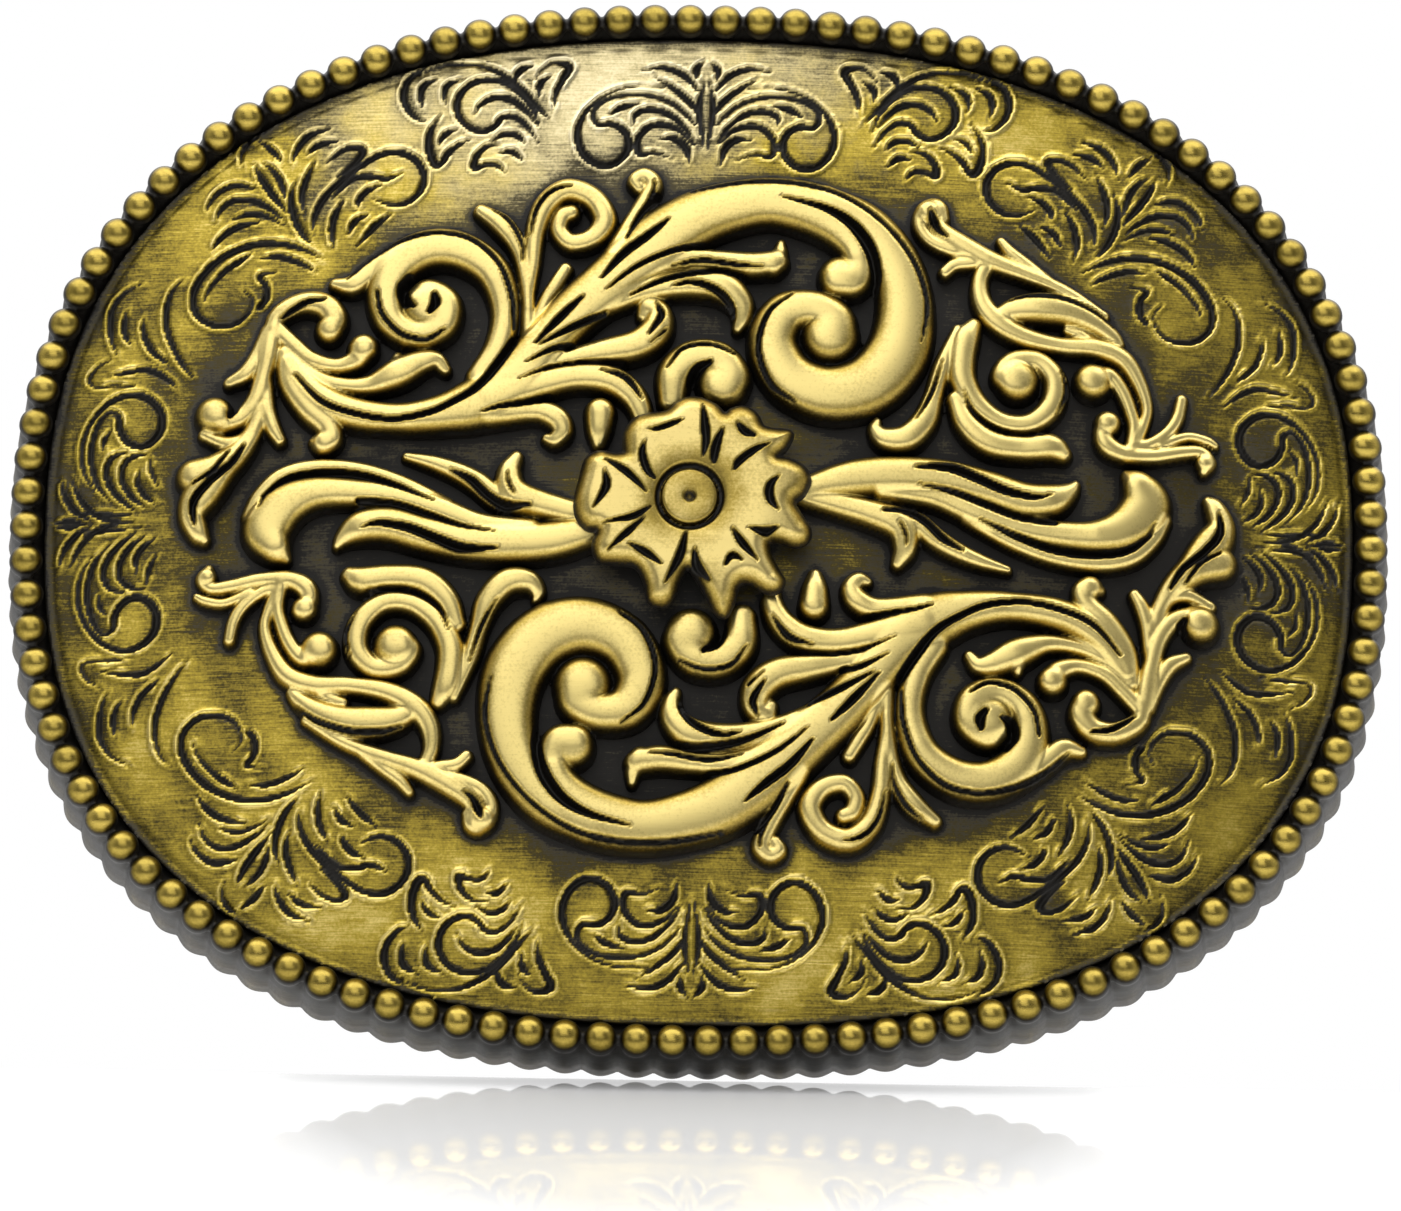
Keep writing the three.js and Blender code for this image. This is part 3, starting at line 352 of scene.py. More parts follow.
PETAL_CUTS = [
    [(-3, 4.8, 0.06), (-2.2, 4.9, 0.2), (-1.2, 5.3, 0.2), (-0.5, 5.6, 0.06)],
    [(-3.2, 4, 0.06), (-3.4, 3, 0.25), (-3, 1.8, 0.25), (-2.4, 1.2, 0.08)],
    [(0.8, 6.8, 0.06), (1, 5.2, 0.3), (1.1, 4, 0.25), (0.9, 2.9, 0.06)],
    [(2.3, 5, 0.08), (1.9, 4, 0.28), (1.7, 3, 0.28), (1.7, 2.4, 0.08)],
    [(3.3, 5.4, 0.1), (3.8, 4.8, 0.3), (4.5, 4.5, 0.15)],
    [(5.6, 4, 0.06), (4.5, 3.4, 0.25), (3.5, 2.6, 0.28), (3.1, 1.9, 0.06)],
    [(6.3, 1.6, 0.06), (5.7, 0.9, 0.28), (5.7, -0.1, 0.3), (6.3, -0.9, 0.06)],
    [(4.2, -2.2, 0.08), (5.3, -2.5, 0.3), (6.3, -2.1, 0.08)],
    [(3.05, -2.3, 0.08), (3.8, -3.4, 0.3), (4.9, -4.6, 0.08)],
    [(2.6, -5, 0.1), (3.1, -4.3, 0.28), (3.8, -4.6, 0.1)],
    [(0.4, -3.8, 0.08), (0.6, -5, 0.3), (1.5, -6.1, 0.08)],
    [(-0.2, -2.6, 0.08), (-0.6, -4.3, 0.3), (-1.6, -6.3, 0.08)],
    [(-4.3, -3.5, 0.08), (-3, -4.2, 0.28), (-1.9, -5, 0.1)],
    [(-2.7, -0.8, 0.06), (-4, -1.6, 0.25), (-6.1, -2, 0.06)],
    [(-3.1, -1.6, 0.06), (-4.4, -2.8, 0.25), (-5.7, -4, 0.06)],
    [(-6.1, 1.9, 0.06), (-5.9, 0.6, 0.3), (-6.8, -1, 0.06)],
    [(-6, 2.6, 0.08), (-4.4, 1.6, 0.28), (-3, 0.2, 0.06)],
]
# Engraved leaves of the upper left quarter; the other three quarters are mirrored from it.
TOP_FAN = [
    [
        (-3, 32.5, 0.08), (-5, 32.55, 0.12), (-6.9, 32, 0.15), (-8.4, 30.8, 0.2), (-9.15, 29.2, 0.3),
        (-9, 27.8, 0.32), (-8.3, 26.8, 0.32), (-7.2, 26.35, 0.32), (-6.1, 26.8, 0.32),
        (-5.5, 27.9, 0.32), (-5.8, 29, 0.3), (-6.7, 29.6, 0.28), (-7.7, 29.55, 0.25),
        (-8.1, 30.2, 0.22), (-7.8, 31, 0.22), (-6.6, 31.7, 0.2), (-4.9, 31.9, 0.2), (-3.2, 31.6, 0.2),
        (-1.8, 30.8, 0.18), (-0.8, 29.6, 0.1),
    ],
    [(-6.9, 30.3, 0.1), (-6, 30.9, 0.3), (-4.8, 31.2, 0.08)],
    [
        (-5.2, 29.6, 0.1), (-5, 30.4, 0.25), (-4, 30.75, 0.28), (-2.7, 30.4, 0.25), (-1.5, 29.3, 0.2),
        (-0.8, 28.1, 0.08),
    ],
    [
        (-2.2, 26.9, 0.06), (-3.5, 27.4, 0.16), (-4.7, 27.3, 0.26), (-4.9, 28.3, 0.28),
        (-4.2, 29.3, 0.28), (-3.2, 29.6, 0.28), (-2, 29.2, 0.2), (-1, 28.1, 0.08),
    ],
    [(-3.2, 28.5, 0.08), (-2.2, 28.5, 0.3), (-1.4, 27.8, 0.32), (-1.1, 26.6, 0.08)],
    [(-4.6, 33.8, 0.08), (-3, 34, 0.25), (-1.6, 33.4, 0.28), (-0.6, 32.2, 0.12)],
    [(-3.8, 33.3, 0.06), (-2.5, 32.5, 0.22), (-1.2, 31.4, 0.28), (-0.4, 30.2, 0.1)],
    [(-0.2, 34.6, 0.06), (-0.75, 33.9, 0.3), (-0.7, 33.1, 0.1)],
    [(-0.12, 33.1, 0.06), (-0.5, 30.8, 0.26), (-0.1, 27.6, 0.08)],
]
SIDE_FAN = [
    [
        (-20.6, 33.4, 0.06), (-18.8, 34.1, 0.14), (-16.8, 34.2, 0.18), (-15.2, 33.7, 0.25),
        (-13.6, 32.6, 0.28), (-12.2, 31, 0.22), (-11.1, 29.8, 0.06),
    ],
    [
        (-20.3, 33.8, 0.1), (-21.3, 33.1, 0.25), (-21.7, 31.9, 0.3), (-21.4, 30.8, 0.28),
        (-20.7, 30, 0.2), (-19.9, 29.7, 0.06),
    ],
    [(-19.2, 33.1, 0.06), (-20.2, 32.6, 0.28), (-20.5, 31.7, 0.25), (-20.3, 30.8, 0.06)],
    [(-17.4, 33.1, 0.06), (-18.5, 32.6, 0.26), (-18.8, 31.8, 0.22), (-18.6, 31, 0.06)],
    [
        (-12, 28.1, 0.06), (-12.8, 29.4, 0.2), (-13.8, 30.15, 0.24), (-14.6, 30, 0.26),
        (-15.1, 29.4, 0.28), (-15.9, 29, 0.3), (-16.9, 29.3, 0.3), (-17.7, 30.2, 0.32),
        (-17.8, 31.4, 0.32), (-17.1, 32.5, 0.3), (-15.8, 33, 0.28), (-14.3, 32.7, 0.25),
        (-13.1, 31.6, 0.2), (-12.3, 30.5, 0.18), (-11.9, 29.3, 0.06),
    ],
    [
        (-16.6, 30.2, 0.06), (-16.1, 31.1, 0.22), (-15.1, 31.6, 0.3), (-13.9, 31.4, 0.3),
        (-12.9, 30.6, 0.2), (-12.2, 29.6, 0.06),
    ],
    [(-13.7, 33.1, 0.2), (-13.3, 33.8, 0.32), (-12.4, 34.1, 0.1)],
    [
        (-12.3, 32.9, 0.06), (-11.8, 33.8, 0.12), (-10.9, 34.35, 0.2), (-9.9, 34, 0.38),
        (-10.3, 33, 0.3), (-10.8, 31.9, 0.25), (-10.95, 30.5, 0.06),
    ],
    [(-11.1, 33.3, 0.06), (-11.9, 32.7, 0.28), (-12, 31.7, 0.1)],
    [
        (-19, 30.2, 0.08), (-19.7, 29, 0.26), (-19.8, 27.8, 0.34), (-19.4, 26.6, 0.38),
        (-18.9, 26.5, 0.3), (-18.4, 27.3, 0.28), (-17.6, 28, 0.2), (-16.7, 28.4, 0.06),
    ],
    [(-17.8, 29.15, 0.08), (-18.6, 28.8, 0.26), (-19.1, 28, 0.14)],
    [(-15.2, 28.3, 0.1), (-14.3, 28.8, 0.26), (-13.4, 28.6, 0.26), (-12.9, 28, 0.08)],
    [
        (-14.4, 28, 0.06), (-15.5, 27.9, 0.2), (-16.3, 27.2, 0.28), (-16.5, 26.2, 0.34),
        (-15.8, 26.4, 0.25), (-14.9, 26.4, 0.24), (-14.3, 25.8, 0.08),
    ],
    [(-14.7, 27.3, 0.08), (-13.8, 27.4, 0.3), (-13.1, 26.8, 0.12)],
]
CORNER_LEAF = [
    [
        (-23.8, 24, 0.06), (-22.4, 23.4, 0.2), (-21.2, 23.6, 0.26), (-20.3, 24.5, 0.3),
        (-20.1, 25.7, 0.32), (-20.7, 26.8, 0.32), (-21.8, 27.4, 0.32), (-23.1, 27.3, 0.28),
        (-24.5, 26.5, 0.26), (-26.1, 25.2, 0.28), (-27.3, 23.8, 0.28), (-27.9, 22.3, 0.2),
        (-27.8, 21.2, 0.06),
    ],
    [
        (-21.6, 25.9, 0.08), (-22.7, 25.4, 0.26), (-23.8, 25.6, 0.28), (-25, 25.5, 0.26),
        (-26.1, 24.6, 0.2), (-26.7, 23.9, 0.06),
    ],
    [(-23.2, 24.9, 0.08), (-24.1, 24.5, 0.28), (-24.7, 23.8, 0.25), (-24.8, 23.2, 0.08)],
    [
        (-27.3, 26.4, 0.06), (-26.3, 27.4, 0.2), (-25.2, 27.85, 0.24), (-24.5, 27.5, 0.34),
        (-25.3, 26.4, 0.25), (-26.3, 25.6, 0.1),
    ],
    [(-29.6, 26.6, 0.06), (-29.2, 27.8, 0.24), (-28.4, 28.8, 0.28), (-27, 29.3, 0.1)],
    [(-28.5, 27.4, 0.1), (-27.6, 28.1, 0.28), (-26.1, 28.4, 0.06)],
    [(-32.3, 26.8, 0.06), (-31.7, 25.5, 0.3), (-30.8, 24.2, 0.3), (-29.9, 23, 0.08)],
    [(-31.8, 26.9, 0.06), (-30.9, 26.2, 0.24), (-30.3, 25.2, 0.28), (-30, 24, 0.1)],
    [(-33, 26.2, 0.06), (-33.3, 27.3, 0.14), (-32.8, 28.3, 0.22), (-32.2, 28.7, 0.1)],
    [(-32, 28.5, 0.08), (-31, 27.7, 0.28), (-30.3, 26.8, 0.1)],
    [(-27.9, 26.9, 0.06), (-28.5, 25.5, 0.28), (-28.8, 24.1, 0.25), (-28.5, 22.7, 0.06)],
    [
        (-29.2, 25.5, 0.06), (-29.6, 24, 0.24), (-29.3, 22.5, 0.3), (-28.7, 21.3, 0.25),
        (-28, 20.5, 0.06),
    ],
    [(-25.8, 23.8, 0.1), (-26.4, 22.6, 0.28), (-26.6, 21.3, 0.25), (-26.4, 20.1, 0.06)],
    [(-24, 22.7, 0.08), (-24.9, 22.2, 0.28), (-25.4, 21.3, 0.15)],
    [(-22.4, 22.7, 0.08), (-23.6, 21.7, 0.28), (-24.7, 20.3, 0.08)],
    [
        (-35.7, 23.1, 0.06), (-35.2, 24.2, 0.2), (-34.2, 25, 0.28), (-33.2, 25.1, 0.25),
        (-32.1, 24.8, 0.06),
    ],
    [
        (-35, 22.2, 0.06), (-34.6, 23.3, 0.2), (-33.6, 24, 0.28), (-32.2, 23.9, 0.28),
        (-31, 23.2, 0.2), (-29.9, 22.2, 0.06),
    ],
    [(-33.8, 22.5, 0.06), (-32.6, 22.9, 0.22), (-31.3, 22.7, 0.2), (-29.9, 21.9, 0.06)],
    [(-35.2, 20.2, 0.08), (-34.4, 21.3, 0.28), (-33.2, 22, 0.28), (-31.7, 22.3, 0.08)],
    [
        (-27, 19.3, 0.06), (-28.5, 20.1, 0.2), (-30.2, 20.6, 0.28), (-32, 20.6, 0.3), (-33.8, 20, 0.3),
        (-35.3, 18.9, 0.3), (-36.3, 17.3, 0.3), (-36.3, 15.8, 0.28), (-35.4, 14.8, 0.28),
        (-34.2, 14.5, 0.25), (-33, 14.8, 0.2), (-32.3, 15.6, 0.14), (-32.2, 16.5, 0.12),
        (-32.8, 17.2, 0.06),
    ],
    [
        (-35.7, 16.2, 0.06), (-35.2, 17.4, 0.16), (-34.2, 18.6, 0.22), (-33.2, 19.3, 0.28),
        (-32.4, 19.8, 0.1),
    ],
    [(-31.7, 19.5, 0.06), (-30.3, 19.6, 0.26), (-28.8, 19.1, 0.24), (-27.6, 18.4, 0.06)],
    [
        (-30.5, 18.45, 0.06), (-31.7, 18.2, 0.2), (-31.2, 17.4, 0.25), (-31.2, 16.4, 0.28),
        (-31.6, 15.8, 0.25),
    ],
]
SIDE_PALMETTE = [
    [
        (-37, 18.2, 0.06), (-37.9, 17.3, 0.16), (-38.3, 15.8, 0.24), (-38.2, 14.3, 0.26),
        (-37.6, 12.7, 0.24), (-36.9, 11.5, 0.18), (-36.1, 10.5, 0.06),
    ],
    [(-40, 15.4, 0.06), (-39.9, 14.2, 0.22), (-39.4, 13, 0.25), (-38.7, 12.3, 0.2), (-38, 11.7, 0.06)],
    [(-41.1, 16.1, 0.06), (-41.3, 15, 0.2), (-41.2, 14, 0.22), (-40.7, 13.2, 0.06)],
    [
        (-40, 18, 0.06), (-41.4, 17.2, 0.16), (-42.2, 16, 0.22), (-42.3, 14.6, 0.22),
        (-42.1, 13.4, 0.16), (-41.7, 12.5, 0.06),
    ],
    [
        (-42.2, 12.3, 0.06), (-43.2, 11.7, 0.14), (-43.7, 10.8, 0.18), (-43.2, 10.3, 0.12),
        (-41.7, 10.35, 0.16), (-40, 10.1, 0.06),
    ],
    [(-42.5, 11, 0.05), (-41, 11.3, 0.2), (-39.5, 11.4, 0.26), (-38.3, 10.8, 0.22), (-37.2, 9.9, 0.06)],
    [
        (-43.1, 2.6, 0.06), (-43.9, 4, 0.14), (-44.1, 5.8, 0.16), (-43.5, 7.6, 0.18), (-42.3, 9, 0.22),
        (-40.8, 9.6, 0.28), (-39.5, 9.3, 0.32), (-38.6, 8.4, 0.34), (-38.4, 7.2, 0.34),
        (-38.9, 6.2, 0.34), (-39.8, 5.75, 0.32), (-40.8, 6.1, 0.3), (-41.4, 7, 0.28), (-41.5, 8, 0.22),
        (-42.2, 8.4, 0.16), (-43, 7.4, 0.2), (-43.4, 5.8, 0.22), (-43.3, 4.2, 0.22),
        (-42.8, 2.8, 0.16), (-41.8, 1.7, 0.06),
    ],
    [(-41.9, 7.1, 0.06), (-42.5, 6.3, 0.2), (-42.5, 5.3, 0.08)],
    [
        (-40.8, 5.4, 0.08), (-41.9, 5, 0.22), (-42.3, 3.9, 0.26), (-41.9, 2.7, 0.25), (-41, 1.7, 0.2),
        (-40, 0.9, 0.06),
    ],
    [
        (-39.4, 5.2, 0.08), (-40.6, 4.9, 0.24), (-41.2, 4, 0.26), (-41, 2.9, 0.25), (-40.3, 1.9, 0.2),
        (-39.3, 1.2, 0.06),
    ],
    [(-39.9, 4, 0.06), (-40, 3, 0.24), (-39.5, 2.1, 0.24), (-38.7, 1.5, 0.06)],
    [(-39.2, 4.8, 0.1), (-39, 3.7, 0.2), (-38.5, 2.6, 0.06)],
    [(-45.6, 3.6, 0.06), (-45.2, 2.2, 0.2), (-44.4, 1.1, 0.25), (-43.3, 0.4, 0.08)],
    [(-44.8, 3.6, 0.06), (-44.1, 2, 0.22), (-43.2, 1, 0.26), (-42, 0.4, 0.2), (-40.2, 0.15, 0.06)],
    [(-44.6, -0.5, 0.06), (-42.5, -0.45, 0.18), (-39.6, -0.2, 0.06)],
    [(-46, 0.3, 0.06), (-44.8, 0.45, 0.22), (-43.6, 0.1, 0.08)],
]

# The bent, domed oval --------------------------------------------------------------------------


def reach(u, v):
    """How far out a point is: 0 at the centre, 1 on the bead ring."""
    across = np.abs(u / RING_HALF_WIDTH) ** OVAL_POWER
    up = np.abs(v / RING_HALF_HEIGHT) ** OVAL_POWER
    return (across + up) ** (1 / OVAL_POWER)


def dome(u, v):
    """Height of the plate's front face in front of the bead plane."""
    return DOME_RISE * (1 - np.minimum(reach(u, v), 1) ** 2) - EDGE_DROP


def place(u, v, h):
    """Points of the bent buckle in the frame, in millimetres."""
    return np.stack([u, BEAD_PLANE + BEND * u * u - h, v + 0 * h], axis=-1)


def place_on_plate(u, v, h):
    """Points at a height over the plate's front face."""
    return place(u, v, dome(u, v) + h)


def place_flat(u, v, h):
    """Points measured from the flower's centre, which don't follow the bend."""
    return np.stack([FLOWER_CENTRE[0] + u, BEAD_PLANE - h, FLOWER_CENTRE[1] + v], axis=-1)


def around_flower(radius, height, angle):
    return place_flat(radius * np.cos(angle), radius * np.sin(angle), height)


# Meshes ----------------------------------------------------------------------------------------


def add_piece(name, points, faces, slot, *materials, body="buckle", patina_and_shade=0.0, face_material=None):
    """A smooth mesh that rides on a body and stands for the CAD node of the same name.

    faces is a list of arrays of corner indices, one array for each number of corners. slot is the
    CAD's name for the material; it is not used. patina_and_shade is how dark each point is painted:
    blackened patina, and in places painted shade."""
    mesh = bpy.data.meshes.new(name)
    mesh.vertices.add(len(points))
    mesh.vertices.foreach_set("co", (points * MM).astype(np.float32).ravel())
    corners = np.concatenate([group.ravel() for group in faces])
    sizes = np.concatenate([np.full(len(group), group.shape[1]) for group in faces])
    starts = np.concatenate([[0], np.cumsum(sizes)[:-1]])
    mesh.loops.add(len(corners))
    mesh.loops.foreach_set("vertex_index", corners.astype(np.int32))
    mesh.polygons.add(len(sizes))
    mesh.polygons.foreach_set("loop_start", starts.astype(np.int32))
    if face_material is not None:
        mesh.polygons.foreach_set("material_index", face_material.astype(np.int32))
    mesh.update(calc_edges=True)
    mesh.validate()
    mesh.shade_smooth()
    patina_and_shade = np.broadcast_to(patina_and_shade, len(points)).astype(np.float32)
    mesh.attributes.new("patina_and_shade", "FLOAT", "POINT").data.foreach_set("value", patina_and_shade)
    for material in materials:
        mesh.materials.append(material)
    piece = bpy.data.objects.new(name, mesh)
    bpy.context.scene.collection.objects.link(piece)
    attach(piece, body)
    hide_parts(name)


def grid_faces(rows, columns, wrap_rows=False):
    """Quads between neighbouring points of a grid that is stored row by row and closes round each row."""
    i = np.arange(rows if wrap_rows else rows - 1)[:, None]
    j = np.arange(columns)[None, :]
    here, below = i * columns, (i + 1) % rows * columns
    after = (j + 1) % columns
    return np.stack([here + j, below + j, below + after, here + after], axis=-1).reshape(-1, 4)


def tube(rings, ends):
    """Points and faces of a closed shape: equal rings from end to end, and a fan to a point at each end."""
    sides = len(rings[0])
    count = len(rings) * sides
    ring = np.arange(sides)
    after = (ring + 1) % sides
    last = count - sides
    start_fan = np.stack([np.full(sides, count), ring, after], axis=-1)
    end_fan = np.stack([np.full(sides, count + 1), last + after, last + ring], axis=-1)
    points = np.concatenate([*rings, np.reshape(ends, (2, 3))])
    return points, [grid_faces(len(rings), sides), np.concatenate([start_fan, end_fan])]


def lathe(profile, sides, spot):
    """A closed turned shape; spot(radius, height, angle) gives its points.

    The profile's first and last points lie on the axis."""
    angle = np.arange(sides) * 2 * np.pi / sides
    radius, height = np.array(profile, float).T
    points = spot(radius[:, None], height[:, None] + 0 * angle, angle[None, :])
    return tube(points[1:-1], points[[0, -1], 0])


def facing_out(points, faces):
    """The same faces, all turned over if the closed shape is inside out."""
    volume = 0.0
    for group in faces:
        for k in range(1, group.shape[1] - 1):
            a, b, c = points[group[:, 0]], points[group[:, k]], points[group[:, k + 1]]
            volume += np.einsum("ij,ij->", a, np.cross(b, c))
    return [group[:, ::-1] for group in faces] if volume < 0 else faces


def joined(*shapes):
    """Several closed shapes as one list of points and one list of faces."""
    points, faces, count = [], [], 0
    for shape_points, shape_faces in shapes:
        points.append(shape_points)
        faces += [group + count for group in facing_out(shape_points, shape_faces)]
        count += len(shape_points)
    return np.concatenate(points), faces


# Relief drawn on a grid ------------------------------------------------------------------------

SPINE_STEP = 0.08
LEAST_STROKE = 0.1  # half width
LEAST_CUT = 0.05
STROKE_GAIN = 1.08  # the drawn half widths are of the bright tops; the strokes spread this much more
STROKE_SPREAD = 0.28
STROKE_BLEND = 0.25  # how softly strokes run into each other
SUNK = 0.25  # how far the pieces on the plate go down into it


def smooth(spine):
    """Close samples of a smooth curve through a spine; each is right, up and half width."""
    knots = np.array(spine, float)
    knots = np.vstack([2 * knots[0] - knots[1], knots, 2 * knots[-1] - knots[-2]])
    rows = []
    for a, b, c, d in zip(knots, knots[1:], knots[2:], knots[3:]):
        count = max(2, int(np.hypot(*(c - b)[:2]) / SPINE_STEP))
        t = np.linspace(0, 1, count, endpoint=False)[:, None]
        bend = (2 * a - 5 * b + 4 * c - d) * t**2 + (3 * b - 3 * c + d - a) * t**3
        rows.append(0.5 * (2 * b + (c - a) * t + bend))
    return np.vstack(rows + [knots[-2:-1]])


class Patch:
    """A square grid over part of the face."""

    def __init__(self, low, high, step):
        self.low = np.array(low, float)
        self.step = step
        counts = np.ceil((np.array(high) - self.low) / step).astype(int) + 1
        lines = [self.low[k] + step * np.arange(counts[k]) for k in (0, 1)]
        self.u, self.v = np.meshgrid(*lines, indexing="ij")

    def full(self, value):
        return np.full(self.u.shape, float(value))

    def near(self, u, v, radius):
        """The part of the grid round a point, and its points' distances from it."""
        spot = np.array((u, v))
        first = np.maximum((spot - radius - self.low) / self.step, 0).astype(int)
        last = np.maximum((spot + radius - self.low) / self.step + 2, 0).astype(int)
        part = (slice(first[0], last[0]), slice(first[1], last[1]))
        return part, np.hypot(self.u[part] - u, self.v[part] - v)


def ramped(value, low, high):
    """0 up to the value low, 1 from the value high on, and a straight line between them."""
    return np.clip((value - low) / (high - low), 0, 1)


def bell(distance, width):
    """1 where the distance is 0, fading away on both sides of it."""
    return np.exp(-((distance / width) ** 2))


def soft_max(a, b, softness):
    return np.maximum(a, b) + np.maximum(softness - np.abs(a - b), 0) ** 2 / (4 * softness)


def stroke_width(width):
    return STROKE_GAIN * width + STROKE_SPREAD


def stroke_crown(width, away):
    """Height across a stroke: gently rounded on top, with steeper shoulders on a wide one."""
    top = min(0.55 + 0.95 * width, 1.9)
    share = np.minimum(away / width, 1)
    return top * (1 - 0.2 * share**2 - 0.8 * share ** (3.2 + 1.6 * width))


def draw_strokes(patch, strokes, balls):
    """Height of the strokes over the plate, how far inside their outline each point is, and how near a
    stroke's middle it is: 0 on the spine and 1 at the outline."""
    height = patch.full(0)
    border = patch.full(-1)
    aside = patch.full(1)
    for spine in list(strokes) + [[ball, ball] for ball in balls]:
        own = patch.full(-1)
        for u, v, width in smooth(spine):
            width = stroke_width(max(width, LEAST_STROKE))
            part, away = patch.near(u, v, width + 2 * patch.step)
            border[part] = np.maximum(border[part], width - away)
            own[part] = np.maximum(own[part], stroke_crown(width, away))
            aside[part] = np.minimum(aside[part], away / width)
        height = soft_max(height, own, STROKE_BLEND)
    return height, border, aside


def draw_cuts(patch, cuts, least, growth):
    """Depth of the grooves; a groove of some half width is least + growth * half width deep."""
    depth = patch.full(0)
    for spine in cuts:
        for u, v, width in smooth(spine):
            width = max(width, LEAST_CUT)
            part, away = patch.near(u, v, width)
            bite = (least + growth * width) * (1 - np.minimum(away / width, 1) ** 2)
            depth[part] = np.maximum(depth[part], bite)
    return depth


def blurred(values, cells):
    """Gaussian blur, by Fourier transform."""
    pad = int(3 * cells) + 1
    wide = np.pad(values, pad, mode="edge")
    waves = [np.fft.fftfreq(wide.shape[0])[:, None], np.fft.rfftfreq(wide.shape[1])[None, :]]
    keep = np.exp(-2 * (np.pi * cells) ** 2 * (waves[0] ** 2 + waves[1] ** 2))
    return np.fft.irfft2(np.fft.rfft2(wide) * keep, wide.shape)[pad:-pad, pad:-pad]


def snapped(patch, border):
    """The grid with the points next to the outline moved on to it, and which points are inside."""
    slope_u, slope_v = np.gradient(border, patch.step)
    size = np.maximum(np.hypot(slope_u, slope_v), 0.5)
    close = np.abs(border) < patch.step / 2
    shift = np.where(close, border / size, 0)
    inside = border > -patch.step / 2
    return patch.u - shift * slope_u / size, patch.v - shift * slope_v / size, inside


def sheet_triangles(inside):
    """Triangles that cover the inside points of a grid, cut across where only three corners are in."""
    index = np.arange(inside.size).reshape(inside.shape)
    corners, is_in = (
        [grid[:-1, :-1], grid[1:, :-1], grid[1:, 1:], grid[:-1, 1:]] for grid in (index, inside)
    )
    total = sum(part.astype(int) for part in is_in)
    whole = total == 4
    triangles = [np.stack([corners[k][whole] for k in ks], axis=-1) for ks in ((0, 1, 2), (0, 2, 3))]
    for missing in range(4):
        lone = (total == 3) & ~is_in[missing]
        kept = [(missing + k) % 4 for k in (1, 2, 3)]
        triangles.append(np.stack([corners[k][lone] for k in kept], axis=-1))
    return np.concatenate(triangles)


def sheet(patch, border):
    """The part of the grid inside the outline: its places, its triangles and its points' grid indices."""
    u, v, inside = snapped(patch, border)
    used, triangles = np.unique(sheet_triangles(inside), return_inverse=True)
    return u.ravel()[used], v.ravel()[used], triangles.reshape(-1, 3), used


def edge_of(triangles, count):
    """The directed edges that only one triangle has."""
    starts = triangles[:, [0, 1, 2]].ravel().astype(np.int64)
    ends = triangles[:, [1, 2, 0]].ravel().astype(np.int64)
    alone = ~np.isin(starts * count + ends, ends * count + starts)
    return starts[alone], ends[alone]


def relief(patch, border, height, floor, lift):
    """A closed shape: the height field inside the outline, a wall round it and a flat underside.

    Also returns which grid points its top and its underside came from."""
    u, v, triangles, used = sheet(patch, border)
    count = len(used)
    starts, ends = edge_of(triangles, count)
    wall = np.stack([ends, starts, starts + count, ends + count], axis=-1)
    top = lift(u, v, height.ravel()[used])
    under = lift(u, v, np.full(count, float(floor)))
    faces = [np.concatenate([triangles, triangles[:, ::-1] + count]), wall]
    return np.concatenate([top, under]), faces, used


# Materials -------------------------------------------------------------------------------------

PATINA_AND_SHADE_BLACK = (0.013, 0.011, 0.008)
PATINA_AND_SHADE_STOPS = (0.0, 0.3, 0.65, 0.85, 1.0)  # of the bright, middle, dark, ground and black colours
# Noise frequencies per millimetre along x, y and z.
BLOTCHES = (0.16, 0.16, 0.16)
STREAKS = (0.35, 2.0, 9.0)
SPECKS = (5.0, 5.0, 5.0)
FITTING_SHADE = 0.5  # how much darker the plate's back is painted round what stands on it: painted shade
FITTING_SHADE_FADE = 3.5
# A painted highlight on the plate: a pale, ragged patch that is widest at the top.
SHEEN_MIDDLE = -9.0
SHEEN_SLOPE = 1.25
SHEEN_RAGGED = 60.0
SHEEN_FADE = (2, 26)
SHEEN_MOST = 0.85


